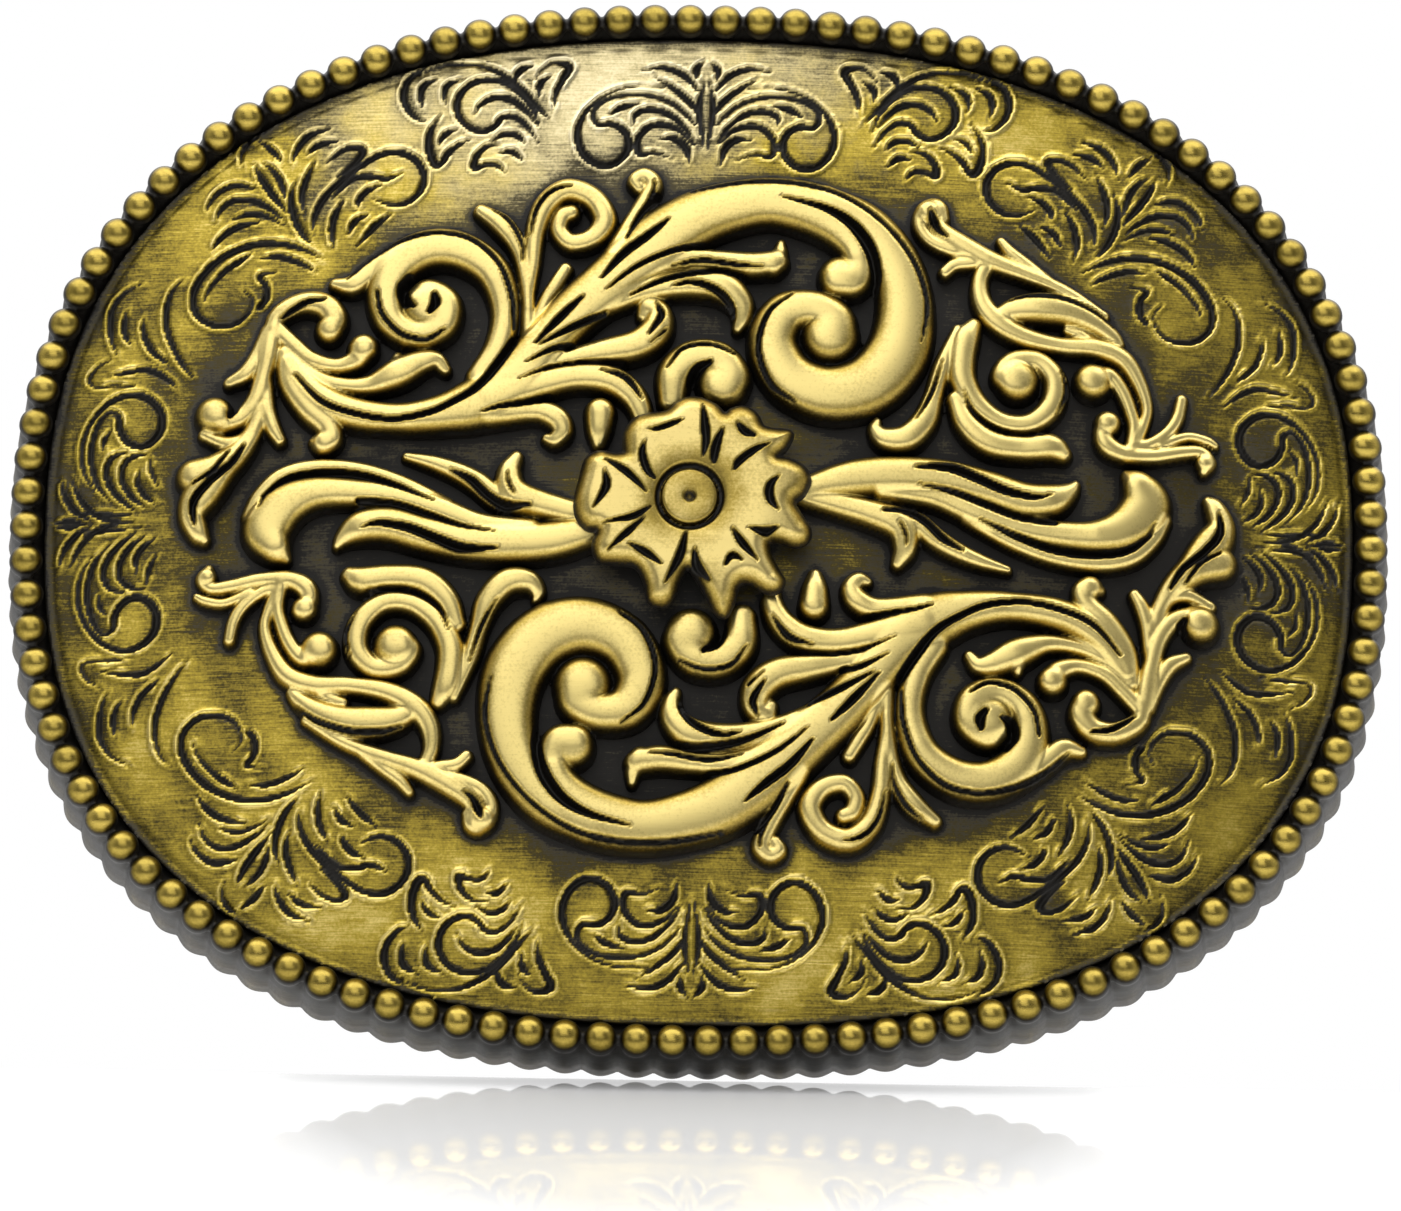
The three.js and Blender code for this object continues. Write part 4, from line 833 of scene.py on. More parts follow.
class Nodes:
    """Short ways to build the node graph of a material or a world."""

    def __init__(self, owner):
        owner.use_nodes = True
        self.tree = owner.node_tree
        self.tree.nodes.clear()

    def node(self, kind, inputs=(), **settings):
        """A new node; inputs is a dictionary of sockets with their values or the outputs wired to them."""
        node = self.tree.nodes.new(kind)
        for key, value in settings.items():
            setattr(node, key, value)
        for key, value in dict(inputs).items():
            if isinstance(value, bpy.types.NodeSocket):
                self.tree.links.new(value, node.inputs[key])
            elif value is not None:
                node.inputs[key].default_value = value
        return node

    def math(self, operation, *values):
        return self.node("ShaderNodeMath", enumerate(values), operation=operation).outputs[0]

    def vector(self, operation, a, b=None, output="Vector"):
        return self.node("ShaderNodeVectorMath", {0: a, 1: b}, operation=operation).outputs[output]

    def swing(self, noise, share, value):
        """The value, moved by up to half of share up or down with the noise."""
        return self.math("MULTIPLY_ADD", self.math("SUBTRACT", noise, 0.5), share, value)

    def spread(self, value, low, high, to_low=0.0, to_high=1.0):
        """The value, remapped so that low to high becomes to_low to to_high, and held there."""
        inputs = {"Value": value, "From Min": low, "From Max": high, "To Min": to_low, "To Max": to_high}
        return self.node("ShaderNodeMapRange", inputs).outputs["Result"]

    def ramp(self, value, positions, colors):
        node = self.node("ShaderNodeValToRGB", {"Fac": value})
        elements = node.color_ramp.elements
        while len(elements) < len(positions):
            elements.new(0.5)
        for element, position, color in zip(elements, positions, colors):
            element.position = position
            element.color = (*color, 1)
        return node.outputs["Color"]

    def mix(self, share, a, b):
        """Colours a and b mixed: a at share 0 and b at share 1."""
        return self.node("ShaderNodeMix", {0: share, 6: a, 7: b}, data_type="RGBA").outputs[2]

    def bump(self, height, distance, below=None):
        inputs = {"Height": height, "Distance": distance * MM, "Strength": 1.0, "Normal": below}
        return self.node("ShaderNodeBump", inputs).outputs["Normal"]


class Surface(Nodes):
    """A material's node graph. Its texture coordinates are in millimetres."""

    def __init__(self, name):
        self.material = bpy.data.materials.new(name)
        super().__init__(self.material)
        spot = self.node("ShaderNodeTexCoord").outputs["Object"]
        self.spot = self.vector("MULTIPLY", spot, (1 / MM,) * 3)

    def noise(self, frequency, detail=3.0, roughness=0.55):
        """Noise from 0 to 1."""
        spot = self.vector("MULTIPLY", self.spot, frequency)
        inputs = {"Vector": spot, "Scale": 1.0, "Detail": detail, "Roughness": roughness}
        return self.node("ShaderNodeTexNoise", inputs).outputs["Fac"]

    def finish(self, inputs):
        shader = self.node("ShaderNodeBsdfPrincipled", inputs)
        self.node("ShaderNodeOutputMaterial", {"Surface": shader.outputs[0]})
        return self.material


def antique_brass(
    name, bright, middle, dark, ground=PATINA_AND_SHADE_BLACK, base=0.0, blotches=0.3, streaks=0.25, specks=0.1,
    shine=(0.3, 0.55), brush=0.006, pale=None, shaded_spots=(),
):
    """Brushed brass, darkened by the patina_and_shade attribute: blackened hollows, and painted shade in
    places. It runs from 0, rubbed bright, to 1, black.

    ground is the colour of its nearly black parts. base is added to it everywhere, and blotches,
    streaks and specks are how far noise moves it. shine is the roughness of the brightest and of the
    blackest, and brush the depth of the marks. pale is a second, paler bright colour: a painted
    highlight near the top. shaded_spots lists (right, up, radius) spots round what is fixed there, where
    painted shade darkens it."""
    n = Surface(name)
    blotch = n.noise(BLOTCHES, detail=5, roughness=0.6)
    streak = n.noise(STREAKS, detail=4, roughness=0.65)
    speck = n.noise(SPECKS, detail=2)
    darkness = n.math("ADD", n.node("ShaderNodeAttribute", attribute_name="patina_and_shade").outputs["Fac"], base)
    for noise, share in ((blotch, blotches), (streak, streaks), (speck, specks)):
        darkness = n.swing(noise, share, darkness)
    # Painted shade round what stands on the plate's back.
    for x, z, radius in shaded_spots:
        away = n.vector("DISTANCE", n.vector("MULTIPLY", n.spot, (1, 0, 1)), (x, 0, z), output="Value")
        darkness = n.math("ADD", darkness, n.spread(away, radius, radius + FITTING_SHADE_FADE, FITTING_SHADE, 0.0))
    color = n.ramp(darkness, PATINA_AND_SHADE_STOPS, (bright, middle, dark, ground, PATINA_AND_SHADE_BLACK))
    # Painted highlight: the pale colour is mixed in near the top, where the plate is least dark.
    if pale:
        split = n.node("ShaderNodeSeparateXYZ", {0: n.spot}).outputs
        beside = n.math("ABSOLUTE", n.math("SUBTRACT", split["X"], SHEEN_MIDDLE))
        level = n.math("MULTIPLY_ADD", beside, -SHEEN_SLOPE, n.swing(blotch, SHEEN_RAGGED, split["Z"]))
        sheen_allowed = n.spread(darkness, 0.15, 0.75, 1.0, 0.0)
        painted_sheen = n.math("MULTIPLY", n.spread(level, *SHEEN_FADE, 0.0, SHEEN_MOST), sheen_allowed)
        color = n.mix(painted_sheen, color, (*pale, 1))
    return n.finish({
        "Base Color": color,
        "Metallic": n.spread(darkness, 0.7, 1.0, 1.0, 0.35),
        "Roughness": n.swing(streak, 0.15, n.spread(darkness, 0, 1, *shine)),
        "Normal": n.bump(speck, 0.5 * brush, below=n.bump(streak, brush)),
    })


def wire_steel(name):
    """Drawn nickel-plated wire, with lines along it and a few darker patches."""
    n = Surface(name)
    patch = n.noise((0.3, 0.3, 0.3), detail=4)
    lines = n.noise((6.0, 6.0, 0.4), detail=3)
    return n.finish({
        "Base Color": n.ramp(patch, (0.3, 0.7), ((0.50, 0.47, 0.42), (0.36, 0.33, 0.28))),
        "Metallic": 1.0,
        "Roughness": n.spread(lines, 0.3, 0.7, 0.22, 0.4),
        "Normal": n.bump(lines, 0.01),
    })


PLATE_BRASS = antique_brass(
    "engraved_brass", (0.95, 0.75, 0.24), (0.54, 0.40, 0.058), (0.085, 0.067, 0.024),
    ground=(0.075, 0.065, 0.042), base=0.22, blotches=1.3, streaks=0.7, specks=0.4, brush=0.012,
    pale=(0.90, 0.80, 0.54),
)
PLATE_BACK_BRASS = antique_brass(
    "plate_back_brass", (0.55, 0.42, 0.17), (0.33, 0.25, 0.09), (0.08, 0.064, 0.03),
    base=0.12, blotches=0.7, streaks=0.6, specks=0.35, shine=(0.35, 0.55), brush=0.02,
    shaded_spots=BACK_FITTINGS,
)
RIM_BRASS = antique_brass(
    "rim_brass", (0.54, 0.40, 0.085), (0.22, 0.16, 0.027), (0.04, 0.03, 0.012),
    base=0.05, blotches=0.7, streaks=0.1, specks=0.2, shine=(0.28, 0.5),
)
RELIEF_BRASS = antique_brass(
    "relief_brass", (0.95, 0.76, 0.28), (0.50, 0.36, 0.08), (0.10, 0.072, 0.02),
    blotches=0.25, streaks=0.15, specks=0.35, shine=(0.33, 0.5),
)
FLOWER_BRASS = antique_brass(
    "flower_brass", (0.86, 0.68, 0.25), (0.44, 0.32, 0.07), (0.10, 0.072, 0.02),
    blotches=0.9, streaks=0.2, specks=0.35, shine=(0.33, 0.5),
)
BACK_BRASS = antique_brass(
    "back_brass", (0.62, 0.48, 0.20), (0.40, 0.30, 0.10), (0.09, 0.07, 0.03),
    base=0.1, blotches=0.5, streaks=0.3, specks=0.2, shine=(0.33, 0.55), brush=0.02,
)
LOOP_STEEL = wire_steel("loop_steel")

# Scrollwork ------------------------------------------------------------------------------------

RELIEF_STEP = 0.14
CUT_LEAST = 0.3
CUT_GROWTH = 2.4
EDGE_WALL = 0.45  # height of the upright wall round the scrollwork
EDGE_FOOT = 0.27  # its height on the outline itself
EDGE_RAMP = 0.12  # how far inside the outline the full height is reached
EDGE_LINE = 0.14  # width of the black line along the outline
LEAST_HEIGHT = 0.12  # height that the cuts leave
FULL_SPAN = 1.4  # half width of a stroke whose shoulders get the full painted shade


def turned(u, v):
    """The twin of a place in the upper scrollwork, in the lower half."""
    return 2 * TURN_CENTRE[0] - u, 2 * TURN_CENTRE[1] - v


def stroke_samples(strokes, balls):
    """Close samples of all strokes and balls, as rows of right, up and half width."""
    return np.vstack([smooth(spine) for spine in strokes.values()] + [np.array([ball]) for ball in balls])


def scroll_patina_and_shade(border, aside, height, cut):
    """Black along the outline and in the cuts, and darker on low ground; the shoulders get painted shade,
    darker towards the outline.
    """
    inside = np.maximum(border, 0)
    span = np.clip(inside / (1.02 - aside) / FULL_SPAN, 0.35, 1)
    # Painted shade: the shoulders darken towards the outline, more on wide strokes.
    shoulder = 0.9 * span * ramped(aside, 0.3, 1) ** 1.5
    hollow = ramped(blurred(cut, 0.7), 0, 0.35)
    return np.clip(0.8 * bell(inside, EDGE_LINE) + hollow + 0.3 * ramped(height, 0.8, 0) + shoulder, 0, 1)


def scroll_island(upper_name, lower_name, strokes, balls, cuts):
    """One island of scrollwork and its twin, each as a relief that follows the plate."""
    rows = stroke_samples(strokes, balls)
    margin = stroke_width(rows[:, 2].max()) + 3 * RELIEF_STEP
    patch = Patch(rows[:, :2].min(0) - margin, rows[:, :2].max(0) + margin, RELIEF_STEP)
    crown, border, aside = draw_strokes(patch, strokes.values(), balls)
    cut = draw_cuts(patch, cuts, CUT_LEAST, CUT_GROWTH)
    rise = ramped(border, 0, EDGE_RAMP)
    height = EDGE_FOOT + (EDGE_WALL - EDGE_FOOT) * rise + crown * rise - cut
    height = np.maximum(height, LEAST_HEIGHT)
    patina_and_shade = scroll_patina_and_shade(border, aside, height, cut)

    def lift_twin(u, v, h):
        return place_on_plate(*turned(u, v), h)

    for name, lift in ((upper_name, place_on_plate), (lower_name, lift_twin)):
        points, faces, used = relief(patch, border, height, -SUNK, lift)
        island_patina_and_shade = np.concatenate([patina_and_shade.ravel()[used], np.ones(len(used))])
        add_piece(name, points, faces, "relief_brass", RELIEF_BRASS, patina_and_shade=island_patina_and_shade)


ISLANDS = (
    ("upper_main_scroll", "lower_main_scroll", MAIN_SCROLL, MAIN_BALLS, MAIN_CUTS),
    ("upper_right_wing", "lower_left_wing", WING, WING_BALLS, WING_CUTS),
    ("upper_right_coil", "lower_left_coil", COIL, COIL_BALLS, COIL_CUTS),
    ("right_band", "left_band", BAND, (), BAND_CUTS),
    ("upper_crown_curl", "lower_crown_curl", CROWN_CURL, CROWN_BALLS, CROWN_CUTS),
    ("upper_drop", "lower_drop", DROP, (), ()),
)
for island in ISLANDS:
    scroll_island(*island)

# Face plate ------------------------------------------------------------------------------------

PLATE_STEP = 0.19
ENGRAVED_WIDTH = 0.85  # share of the drawn half widths that is cut
GROOVE_LEAST = 0.2
GROOVE_GROWTH = 1.0
LIP_HEIGHT = 0.14  # of the burr along a groove
LIP_SPAN = 0.34
LIP_FULL = 0.15  # half width of a groove with a full lip
EDGE_GROOVE = (0.55, 0.22, 0.12)  # the line cut along the edge: how far in, how wide and how deep
FLOWER_COVER = 6.5  # radius that the flower hides
# Reach of the blackening round the raised work and of the darkening round it, both partly patina and partly
# painted shade, and of the darkening in the engraving.
HALO = 0.32
SHADE = 3.2
CARVED_SHADE = 0.9
# Painted shade towards the right and left sides of the plate.
SIDE_SHADE = 0.15
# The plate's back is drawn as rings, each this share of its outline.
BACK_RINGS = (1, 0.985, 0.95, 0.88, 0.78, 0.65, 0.5, 0.34, 0.18)


def engraved_spines():
    """Every engraved stroke: the upper left quarter and its three mirror images."""
    for spine in TOP_FAN + SIDE_FAN + CORNER_LEAF + SIDE_PALMETTE:
        for left in (1, -1):
            for up, middle in ((1, 0), (-1, 2 * ENGRAVING_MIDDLE)):
                yield [(left * u, up * v + middle, ENGRAVED_WIDTH * width) for u, v, width in spine]


def draw_lips(patch, spines):
    """The thin burr that the graver throws up along the outside of each curved groove."""
    burr = patch.full(0)
    for spine in spines:
        rows = smooth(spine)
        way = np.gradient(rows[:, :2], axis=0)
        way /= np.hypot(*way.T)[:, None]
        veer = np.gradient(way, axis=0)
        bends = np.sign(way[:, 0] * veer[:, 1] - way[:, 1] * veer[:, 0])
        for (u, v, width), (way_u, way_v), bend in zip(rows, way, bends):
            width = max(width, LEAST_CUT)
            part, away = patch.near(u, v, width + LIP_SPAN)
            across = ramped(away, width, width + LIP_SPAN)
            aside = (patch.v[part] - v) * way_u - (patch.u[part] - u) * way_v
            outside = np.clip(0.4 - bend * aside / (width + 0.1), 0, 1)
            rise = np.where(away > width, np.sin(np.pi * across) * min(1, width / LIP_FULL), 0)
            burr[part] = np.maximum(burr[part], rise * outside)
    return burr


def overlay_cover(patch):
    """1 under the scrollwork and the flower, 0 elsewhere."""
    discs = [(*FLOWER_CENTRE, FLOWER_COVER)]
    for _, _, strokes, balls, _ in ISLANDS:
        for u, v, width in stroke_samples(strokes, balls):
            discs += [(u, v, stroke_width(width)), (*turned(u, v), stroke_width(width))]
    cover = patch.full(0)
    for u, v, radius in discs:
        part, away = patch.near(u, v, radius)
        cover[part] = np.maximum(cover[part], away < radius)
    return cover


def edge_loop(starts, ends):
    """The points of a single closed edge, in order."""
    following = dict(zip(starts.tolist(), ends.tolist()))
    loop = [starts[0]]
    while following[loop[-1]] != loop[0]:
        loop.append(following[loop[-1]])
    return np.array(loop)


def plate_border(patch):
    """Distance inside the plate's outline, negative outside it."""
    out = reach(patch.u, patch.v)
    slope = np.hypot(*np.gradient(out, patch.step))
    return (1 - out) / np.maximum(slope, 0.5 / RING_HALF_WIDTH) - PLATE_INSET


def plate_patina_and_shade(patch, border, groove, burr):
    """Black in the grooves, black close round the raised work and darker round it (partly patina, partly
    painted shade), and painted shade towards the edge and the sides.
    """
    cover = overlay_cover(patch)
    inside = np.maximum(border, 0)
    carved = blurred((groove > 0) * 1.0, CARVED_SHADE / patch.step)
    patina_and_shade = 0.95 * ramped(blurred(groove, 0.5), 0.045, 0.345) - 0.4 * burr
    patina_and_shade += 0.5 * np.clip(carved, 0, 0.5)
    # Partly patina, partly painted shade: black at the foot of the raised work, and darker round it.
    patina_and_shade += 1.4 * np.clip(blurred(cover, HALO / patch.step), 0, 0.43)
    patina_and_shade += 0.95 * blurred(cover, SHADE / patch.step)
    # Painted shade: darker towards the edge, under the beaded rim, and towards the sides.
    patina_and_shade += 0.5 * np.exp(-inside / 0.35) + 0.15 * np.exp(-inside / 4)
    patina_and_shade += SIDE_SHADE * ramped(np.abs(patch.u + 4), 22, 40)
    return np.clip(patina_and_shade, -0.3, 1)


def face_plate():
    """The engraved sheet, closed by a wall round its edge and by ever smaller rings across its back."""
    size = np.array((RING_HALF_WIDTH, RING_HALF_HEIGHT))
    patch = Patch(-size, size, PLATE_STEP)
    border = plate_border(patch)
    spines = list(engraved_spines())
    groove = draw_cuts(patch, spines, GROOVE_LEAST, GROOVE_GROWTH)
    burr = draw_lips(patch, spines) * (groove == 0)
    way_in, width, depth = EDGE_GROOVE
    height = LIP_HEIGHT * burr - groove - depth * bell(border - way_in, width)
    u, v, triangles, used = sheet(patch, border)
    loop = edge_loop(*edge_of(triangles, len(used)))
    front = place_on_plate(u, v, height.ravel()[used])
    shares = np.array(BACK_RINGS + (0,))
    rings = [place_on_plate(u[loop] * share, v[loop] * share, -PLATE_THICKNESS) for share in shares]
    points = np.concatenate([front, *rings[:-1], rings[-1][:1]])
    around = len(loop)
    index = np.arange(len(front), len(points) - 1).reshape(-1, around)
    index = np.vstack([loop, index])
    after = np.roll(index, -1, axis=1)
    back = np.stack([after[:-1], index[:-1], index[1:], after[1:]], axis=-1).reshape(-1, 4)
    fan = np.stack([after[-1], index[-1], np.full(around, len(points) - 1)], axis=-1)
    # Darker towards the edge, where the back meets the rim: patina, and painted shade in that corner.
    back_patina_and_shade = np.interp(shares, (0, 0.8, 0.95, 1), (0.1, 0.15, 0.5, 0.8))
    back_patina_and_shade = np.repeat(back_patina_and_shade, [around] * len(BACK_RINGS) + [1])
    patina_and_shade = plate_patina_and_shade(patch, border, groove, burr).ravel()[used]
    add_piece(
        "face_plate", points, [np.concatenate([triangles, fan]), back],
        "engraved_brass", PLATE_BRASS, PLATE_BACK_BRASS,
        patina_and_shade=np.concatenate([patina_and_shade, back_patina_and_shade]),
        face_material=np.repeat([0, 1], [len(triangles), len(fan) + len(back)]),
    )


face_plate()

# Beaded rim ------------------------------------------------------------------------------------

BEAD_COUNT = 110
BEAD_RADIUS = 1.2
STEPS_PER_BEAD = 18
BEAD_NECK = 0.42  # half width of the bead ring between two beads
BEAD_ARC = math.radians(118)  # how far round from their tops the beads go
BEAD_ARC_STEPS = 18
RIM_DEPTH = 5.6
RIM_INNER = 0.05  # from the middle of the beads out to the side wall's inner face
FLUTE_DEPTH = 0.4
LEDGE_BOTTOM = -3.1
RING_SAMPLES = 7201
# The rim's section on both sides of the beads: how far out of their middle, height and how dark it is
# painted.
LEDGE = ((-2.3, LEDGE_BOTTOM, 1), (-2.3, -2.3, 1), (-1.22, -2.3, 1), (-1.22, -0.95, 1))
FLUTED_WALL = (
    (1.12, -0.95, 0.9), (1.22, -2.0, 0.7), (1.36, -3.8, 0.62), (RIM_OUTER, 0.2 - RIM_DEPTH, 0.6),
    (RIM_OUTER - 0.15, -RIM_DEPTH, 0.5),
)
INNER_WALL = (
    (RIM_INNER + 0.2, -RIM_DEPTH, 0.3), (RIM_INNER, 0.2 - RIM_DEPTH, 0.4), (RIM_INNER, LEDGE_BOTTOM, 0.6),
)


def ring_points(share):
    """Points a share of the way round the bead ring by length, their outward ways, and its length."""
    turn = np.linspace(0, 2 * np.pi, RING_SAMPLES)
    cos, sin = np.cos(turn), np.sin(turn)
    u = RING_HALF_WIDTH * np.sign(cos) * np.abs(cos) ** (2 / OVAL_POWER)
    v = RING_HALF_HEIGHT * np.sign(sin) * np.abs(sin) ** (2 / OVAL_POWER)
    length = np.concatenate([[0], np.cumsum(np.hypot(np.diff(u), np.diff(v)))])
    u, v = np.interp(share * length[-1], length, u), np.interp(share * length[-1], length, v)
    out_u = np.sign(u) * np.abs(u / RING_HALF_WIDTH) ** (OVAL_POWER - 1) / RING_HALF_WIDTH
    out_v = np.sign(v) * np.abs(v / RING_HALF_HEIGHT) ** (OVAL_POWER - 1) / RING_HALF_HEIGHT
    size = np.hypot(out_u, out_v)
    return u, v, out_u / size, out_v / size, length[-1]


def beaded_rim():
    """One section, swept round the ring: the ledge, over the beads, and down and up the side wall."""
    count = BEAD_COUNT * STEPS_PER_BEAD
    share = (np.arange(count) + 0.5) / count
    u, v, out_u, out_v, length = ring_points(share)
    phase = np.abs((share * BEAD_COUNT + 0.5) % 1 - 0.5)  # 0 at a bead's middle, 0.5 between beads
    along = phase * length / BEAD_COUNT
    ball = np.sqrt(np.maximum(BEAD_RADIUS**2 - along**2, BEAD_NECK**2))
    flute = FLUTE_DEPTH * (1 - np.cos(np.pi * phase))
    section = list(LEDGE)
    for angle in np.linspace(-BEAD_ARC, BEAD_ARC, BEAD_ARC_STEPS):
        up = math.cos(angle) * ball
        # Painted shade: the beads darken away from their tops and towards the gaps between them.
        darkness = ramped(up / BEAD_RADIUS, 0.85, 0.2) + ramped(phase, 0.41, 0.49)
        section.append((math.sin(angle) * ball, up, darkness))
    section += [(out - flute, up, darkness + 0.3 * phase) for out, up, darkness in FLUTED_WALL]
    section += INNER_WALL
    points = np.concatenate([place(u + out * out_u, v + out * out_v, up) for out, up, _ in section])
    patina_and_shade = np.clip(np.concatenate([darkness + 0 * phase for _, _, darkness in section]), 0, 1)
    faces = facing_out(points, [grid_faces(len(section), count, wrap_rows=True)])
    add_piece("beaded_rim", points, faces, "rim_brass", RIM_BRASS, patina_and_shade=patina_and_shade)


beaded_rim()

# Flower and rivet ------------------------------------------------------------------------------

FLOWER_STEP = 0.12
FLOWER_UNDER = 4.5  # height of the petals' underside over the bead plane
PETAL_EDGE = 4.95
PETAL_CROWN = 1.15  # how much higher than their edge the petals are
PETAL_SHOULDER = 1.3
PETAL_ROUNDING = 0.2
PETAL_CUT_LEAST = 0.25
PETAL_CUT_GROWTH = 1.6
HUB_RADIUS = 2.9
RIVET_RADIUS = 2.05
SHANK_RADIUS = 1.2
RIVET_SEAT = 5.2  # height of the flower under the rivet's head


def petal_border(patch):
    """Distance inside the petal outline, negative outside it."""
    a = smooth([(u, v, 0) for u, v in PETAL_OUTLINE + PETAL_OUTLINE[:1]])[::3, :2]
    b = np.roll(a, -1, axis=0)
    points = np.stack([patch.u.ravel(), patch.v.ravel()], axis=-1)[:, None, :]
    run = b - a
    length = np.maximum((run**2).sum(-1), 1e-9)
    along = np.clip(((points - a) * run).sum(-1) / length, 0, 1)
    gap = points - (a + along[..., None] * run)
    distance = np.sqrt((gap**2).sum(-1)).min(1)
    above = (a[:, 1] > points[..., 1]) != (b[:, 1] > points[..., 1])
    rise = np.where(run[:, 1] == 0, 1e-9, run[:, 1])
    crossing = a[:, 0] + (points[..., 1] - a[:, 1]) * run[:, 0] / rise
    inside = (above & (points[..., 0] < crossing)).sum(1) % 2 == 1
    return np.where(inside, distance, -distance).reshape(patch.u.shape)


def flower():
    """Crowned petals with cuts between them, on a hub that stands on the plate."""
    patch = Patch((-8.8, -9.2), (9.3, 8.2), FLOWER_STEP)
    border = petal_border(patch) + PETAL_ROUNDING
    radius = np.hypot(patch.u, patch.v)
    cut = draw_cuts(patch, PETAL_CUTS, PETAL_CUT_LEAST, PETAL_CUT_GROWTH)
    ring = bell(radius - RIVET_RADIUS - 0.2, 0.16)
    height = PETAL_EDGE + PETAL_CROWN * (1 - ramped(border, PETAL_SHOULDER, 0) ** 2.4)
    height -= 0.35 * ramped(radius, 3.6, 2.0) ** 2 + 0.35 * ramped(radius, 5.0, 8.0) ** 2
    height = np.maximum(height - cut - 0.45 * ring, FLOWER_UNDER + 0.1)
    height[radius < RIVET_RADIUS] = RIVET_SEAT
    inside = np.maximum(border, 0)
    # Black in the cuts and in the ring round the rivet, darker towards the middle, and painted shade along
    # the petals' edges, where they slope away.
    patina_and_shade = ramped(blurred(cut, 0.8), 0, 0.3) + 0.9 * ring + 0.4 * ramped(radius, 4.4, 2.2)
    patina_and_shade += 0.6 * bell(inside, 0.3) + 0.35 * bell(inside, 0.9)
    points, faces, used = relief(patch, border, height, FLOWER_UNDER, place_flat)
    low = float(dome(*FLOWER_CENTRE)) - SUNK
    high = FLOWER_UNDER + 0.2
    profile = [(0, low), (HUB_RADIUS + 0.5, low), (HUB_RADIUS, low + 0.5), (HUB_RADIUS, high), (0, high)]
    hub = lathe(profile, 64, around_flower)
    patina_and_shade = [np.clip(patina_and_shade, 0, 1).ravel()[used], np.ones(len(used)), np.full(len(hub[0]), 0.9)]
    points, faces = joined((points, faces), hub)
    add_piece("flower", points, faces, "flower_brass", FLOWER_BRASS, patina_and_shade=np.concatenate(patina_and_shade))


def flower_rivet():
    """A low domed head with a plain punched dimple, a shank and an upset tail behind the plate."""
    tail = float(dome(*FLOWER_CENTRE)) - PLATE_THICKNESS
    profile = [
        (0, 5.72), (0.25, 5.75), (0.42, 5.88), (0.5, 5.97), (0.6, 6.0), (1.2, 5.99), (1.7, 5.97),
        (1.88, 5.92), (1.98, 5.8), (2.0, 5.6), (SHANK_RADIUS, 5.5), (SHANK_RADIUS, tail - 0.1),
        (2.3, tail - 0.25), (2.2, tail - 0.6), (1.7, tail - 0.95), (0.9, tail - 1.08), (0, tail - 1.1),
    ]
    sides = 72
    points, faces = lathe(profile, sides, around_flower)
    radius = [out for out, _ in profile[1:-1]]
    darkness = np.interp(radius, (0, 0.35, 0.5, 0.6, 1.8, 2.0), (0.9, 0.9, 0.5, 0.3, 0.3, 0.7))
    patina_and_shade = np.concatenate([np.repeat(darkness, sides), [0.7, 0.4]])
    faces = facing_out(points, faces)
    add_piece("flower_rivet", points, faces, "flower_brass", FLOWER_BRASS, patina_and_shade=patina_and_shade)


flower()
flower_rivet()

# Back: hinge lugs, bail loop and belt hook -------------------------------------------------------

WIRE_RADIUS = 1.4
WIRE_SIDES = 28
BAIL_REACH = 13.2
BAIL_REST = math.radians(8.5)  # how far the loop leans back at rest
BAIL_HALF_HEIGHT = cad("bail_loop")[1][2] - WIRE_RADIUS
BAIL_PIN_END = 16.0  # how far up the wire's ends are from the middle
BAIL_CORNER = 3.0
BAIL_CORNER_STEPS = 13
PIN_BEVEL = 0.25
LUG_EYE = 2.7  # radius of the lug round its bore
LUG_FOOT = 3.4  # half width of its foot
LUG_SUNK = 0.6
LUG_BORE = 1.52
LUG_BEVEL = 0.25
LUG_SIDES = 96
HOOK_PAD_RADIUS = 5.0
HOOK_PAD_STRETCH = 1.4
HOOK_PAD_SUNK = 0.4
HOOK_LEAN = math.radians(15)
HOOK_FOOT = -1.0
# The pad's rounded edge: how far in, and distance from its face.
HOOK_PAD_BEVELS = ((0, -0.6), (0.07, -0.3), (0.3, -0.08), (0.6, 0))
# Radius and distance from the pad's face.
HOOK_POST = (
    (0, HOOK_FOOT), (2.6, -0.5), (2.5, 0.05), (2.1, 0.3), (1.8, 0.8), (1.7, 1.4), (1.7, 3.3), (1.8, 3.8),
    (2.0, 4.25), (2.1, 4.8), (2.08, 5.3), (1.9, 5.85), (1.5, 6.25), (0.9, 6.45), (0, 6.5),
)


def lug_reach(angle, depth):
    """How far the lug's outline is from the hinge axis, in each direction."""
    across, down = np.abs(np.cos(angle)), np.maximum(-np.sin(angle), 0)
    side = LUG_EYE / np.maximum(across - (LUG_FOOT - LUG_EYE) / depth * down, 1e-6)
    foot = depth / np.maximum(down, 1e-6)
    return np.where(down > 0, np.maximum(LUG_EYE, np.minimum(side, foot)), LUG_EYE)


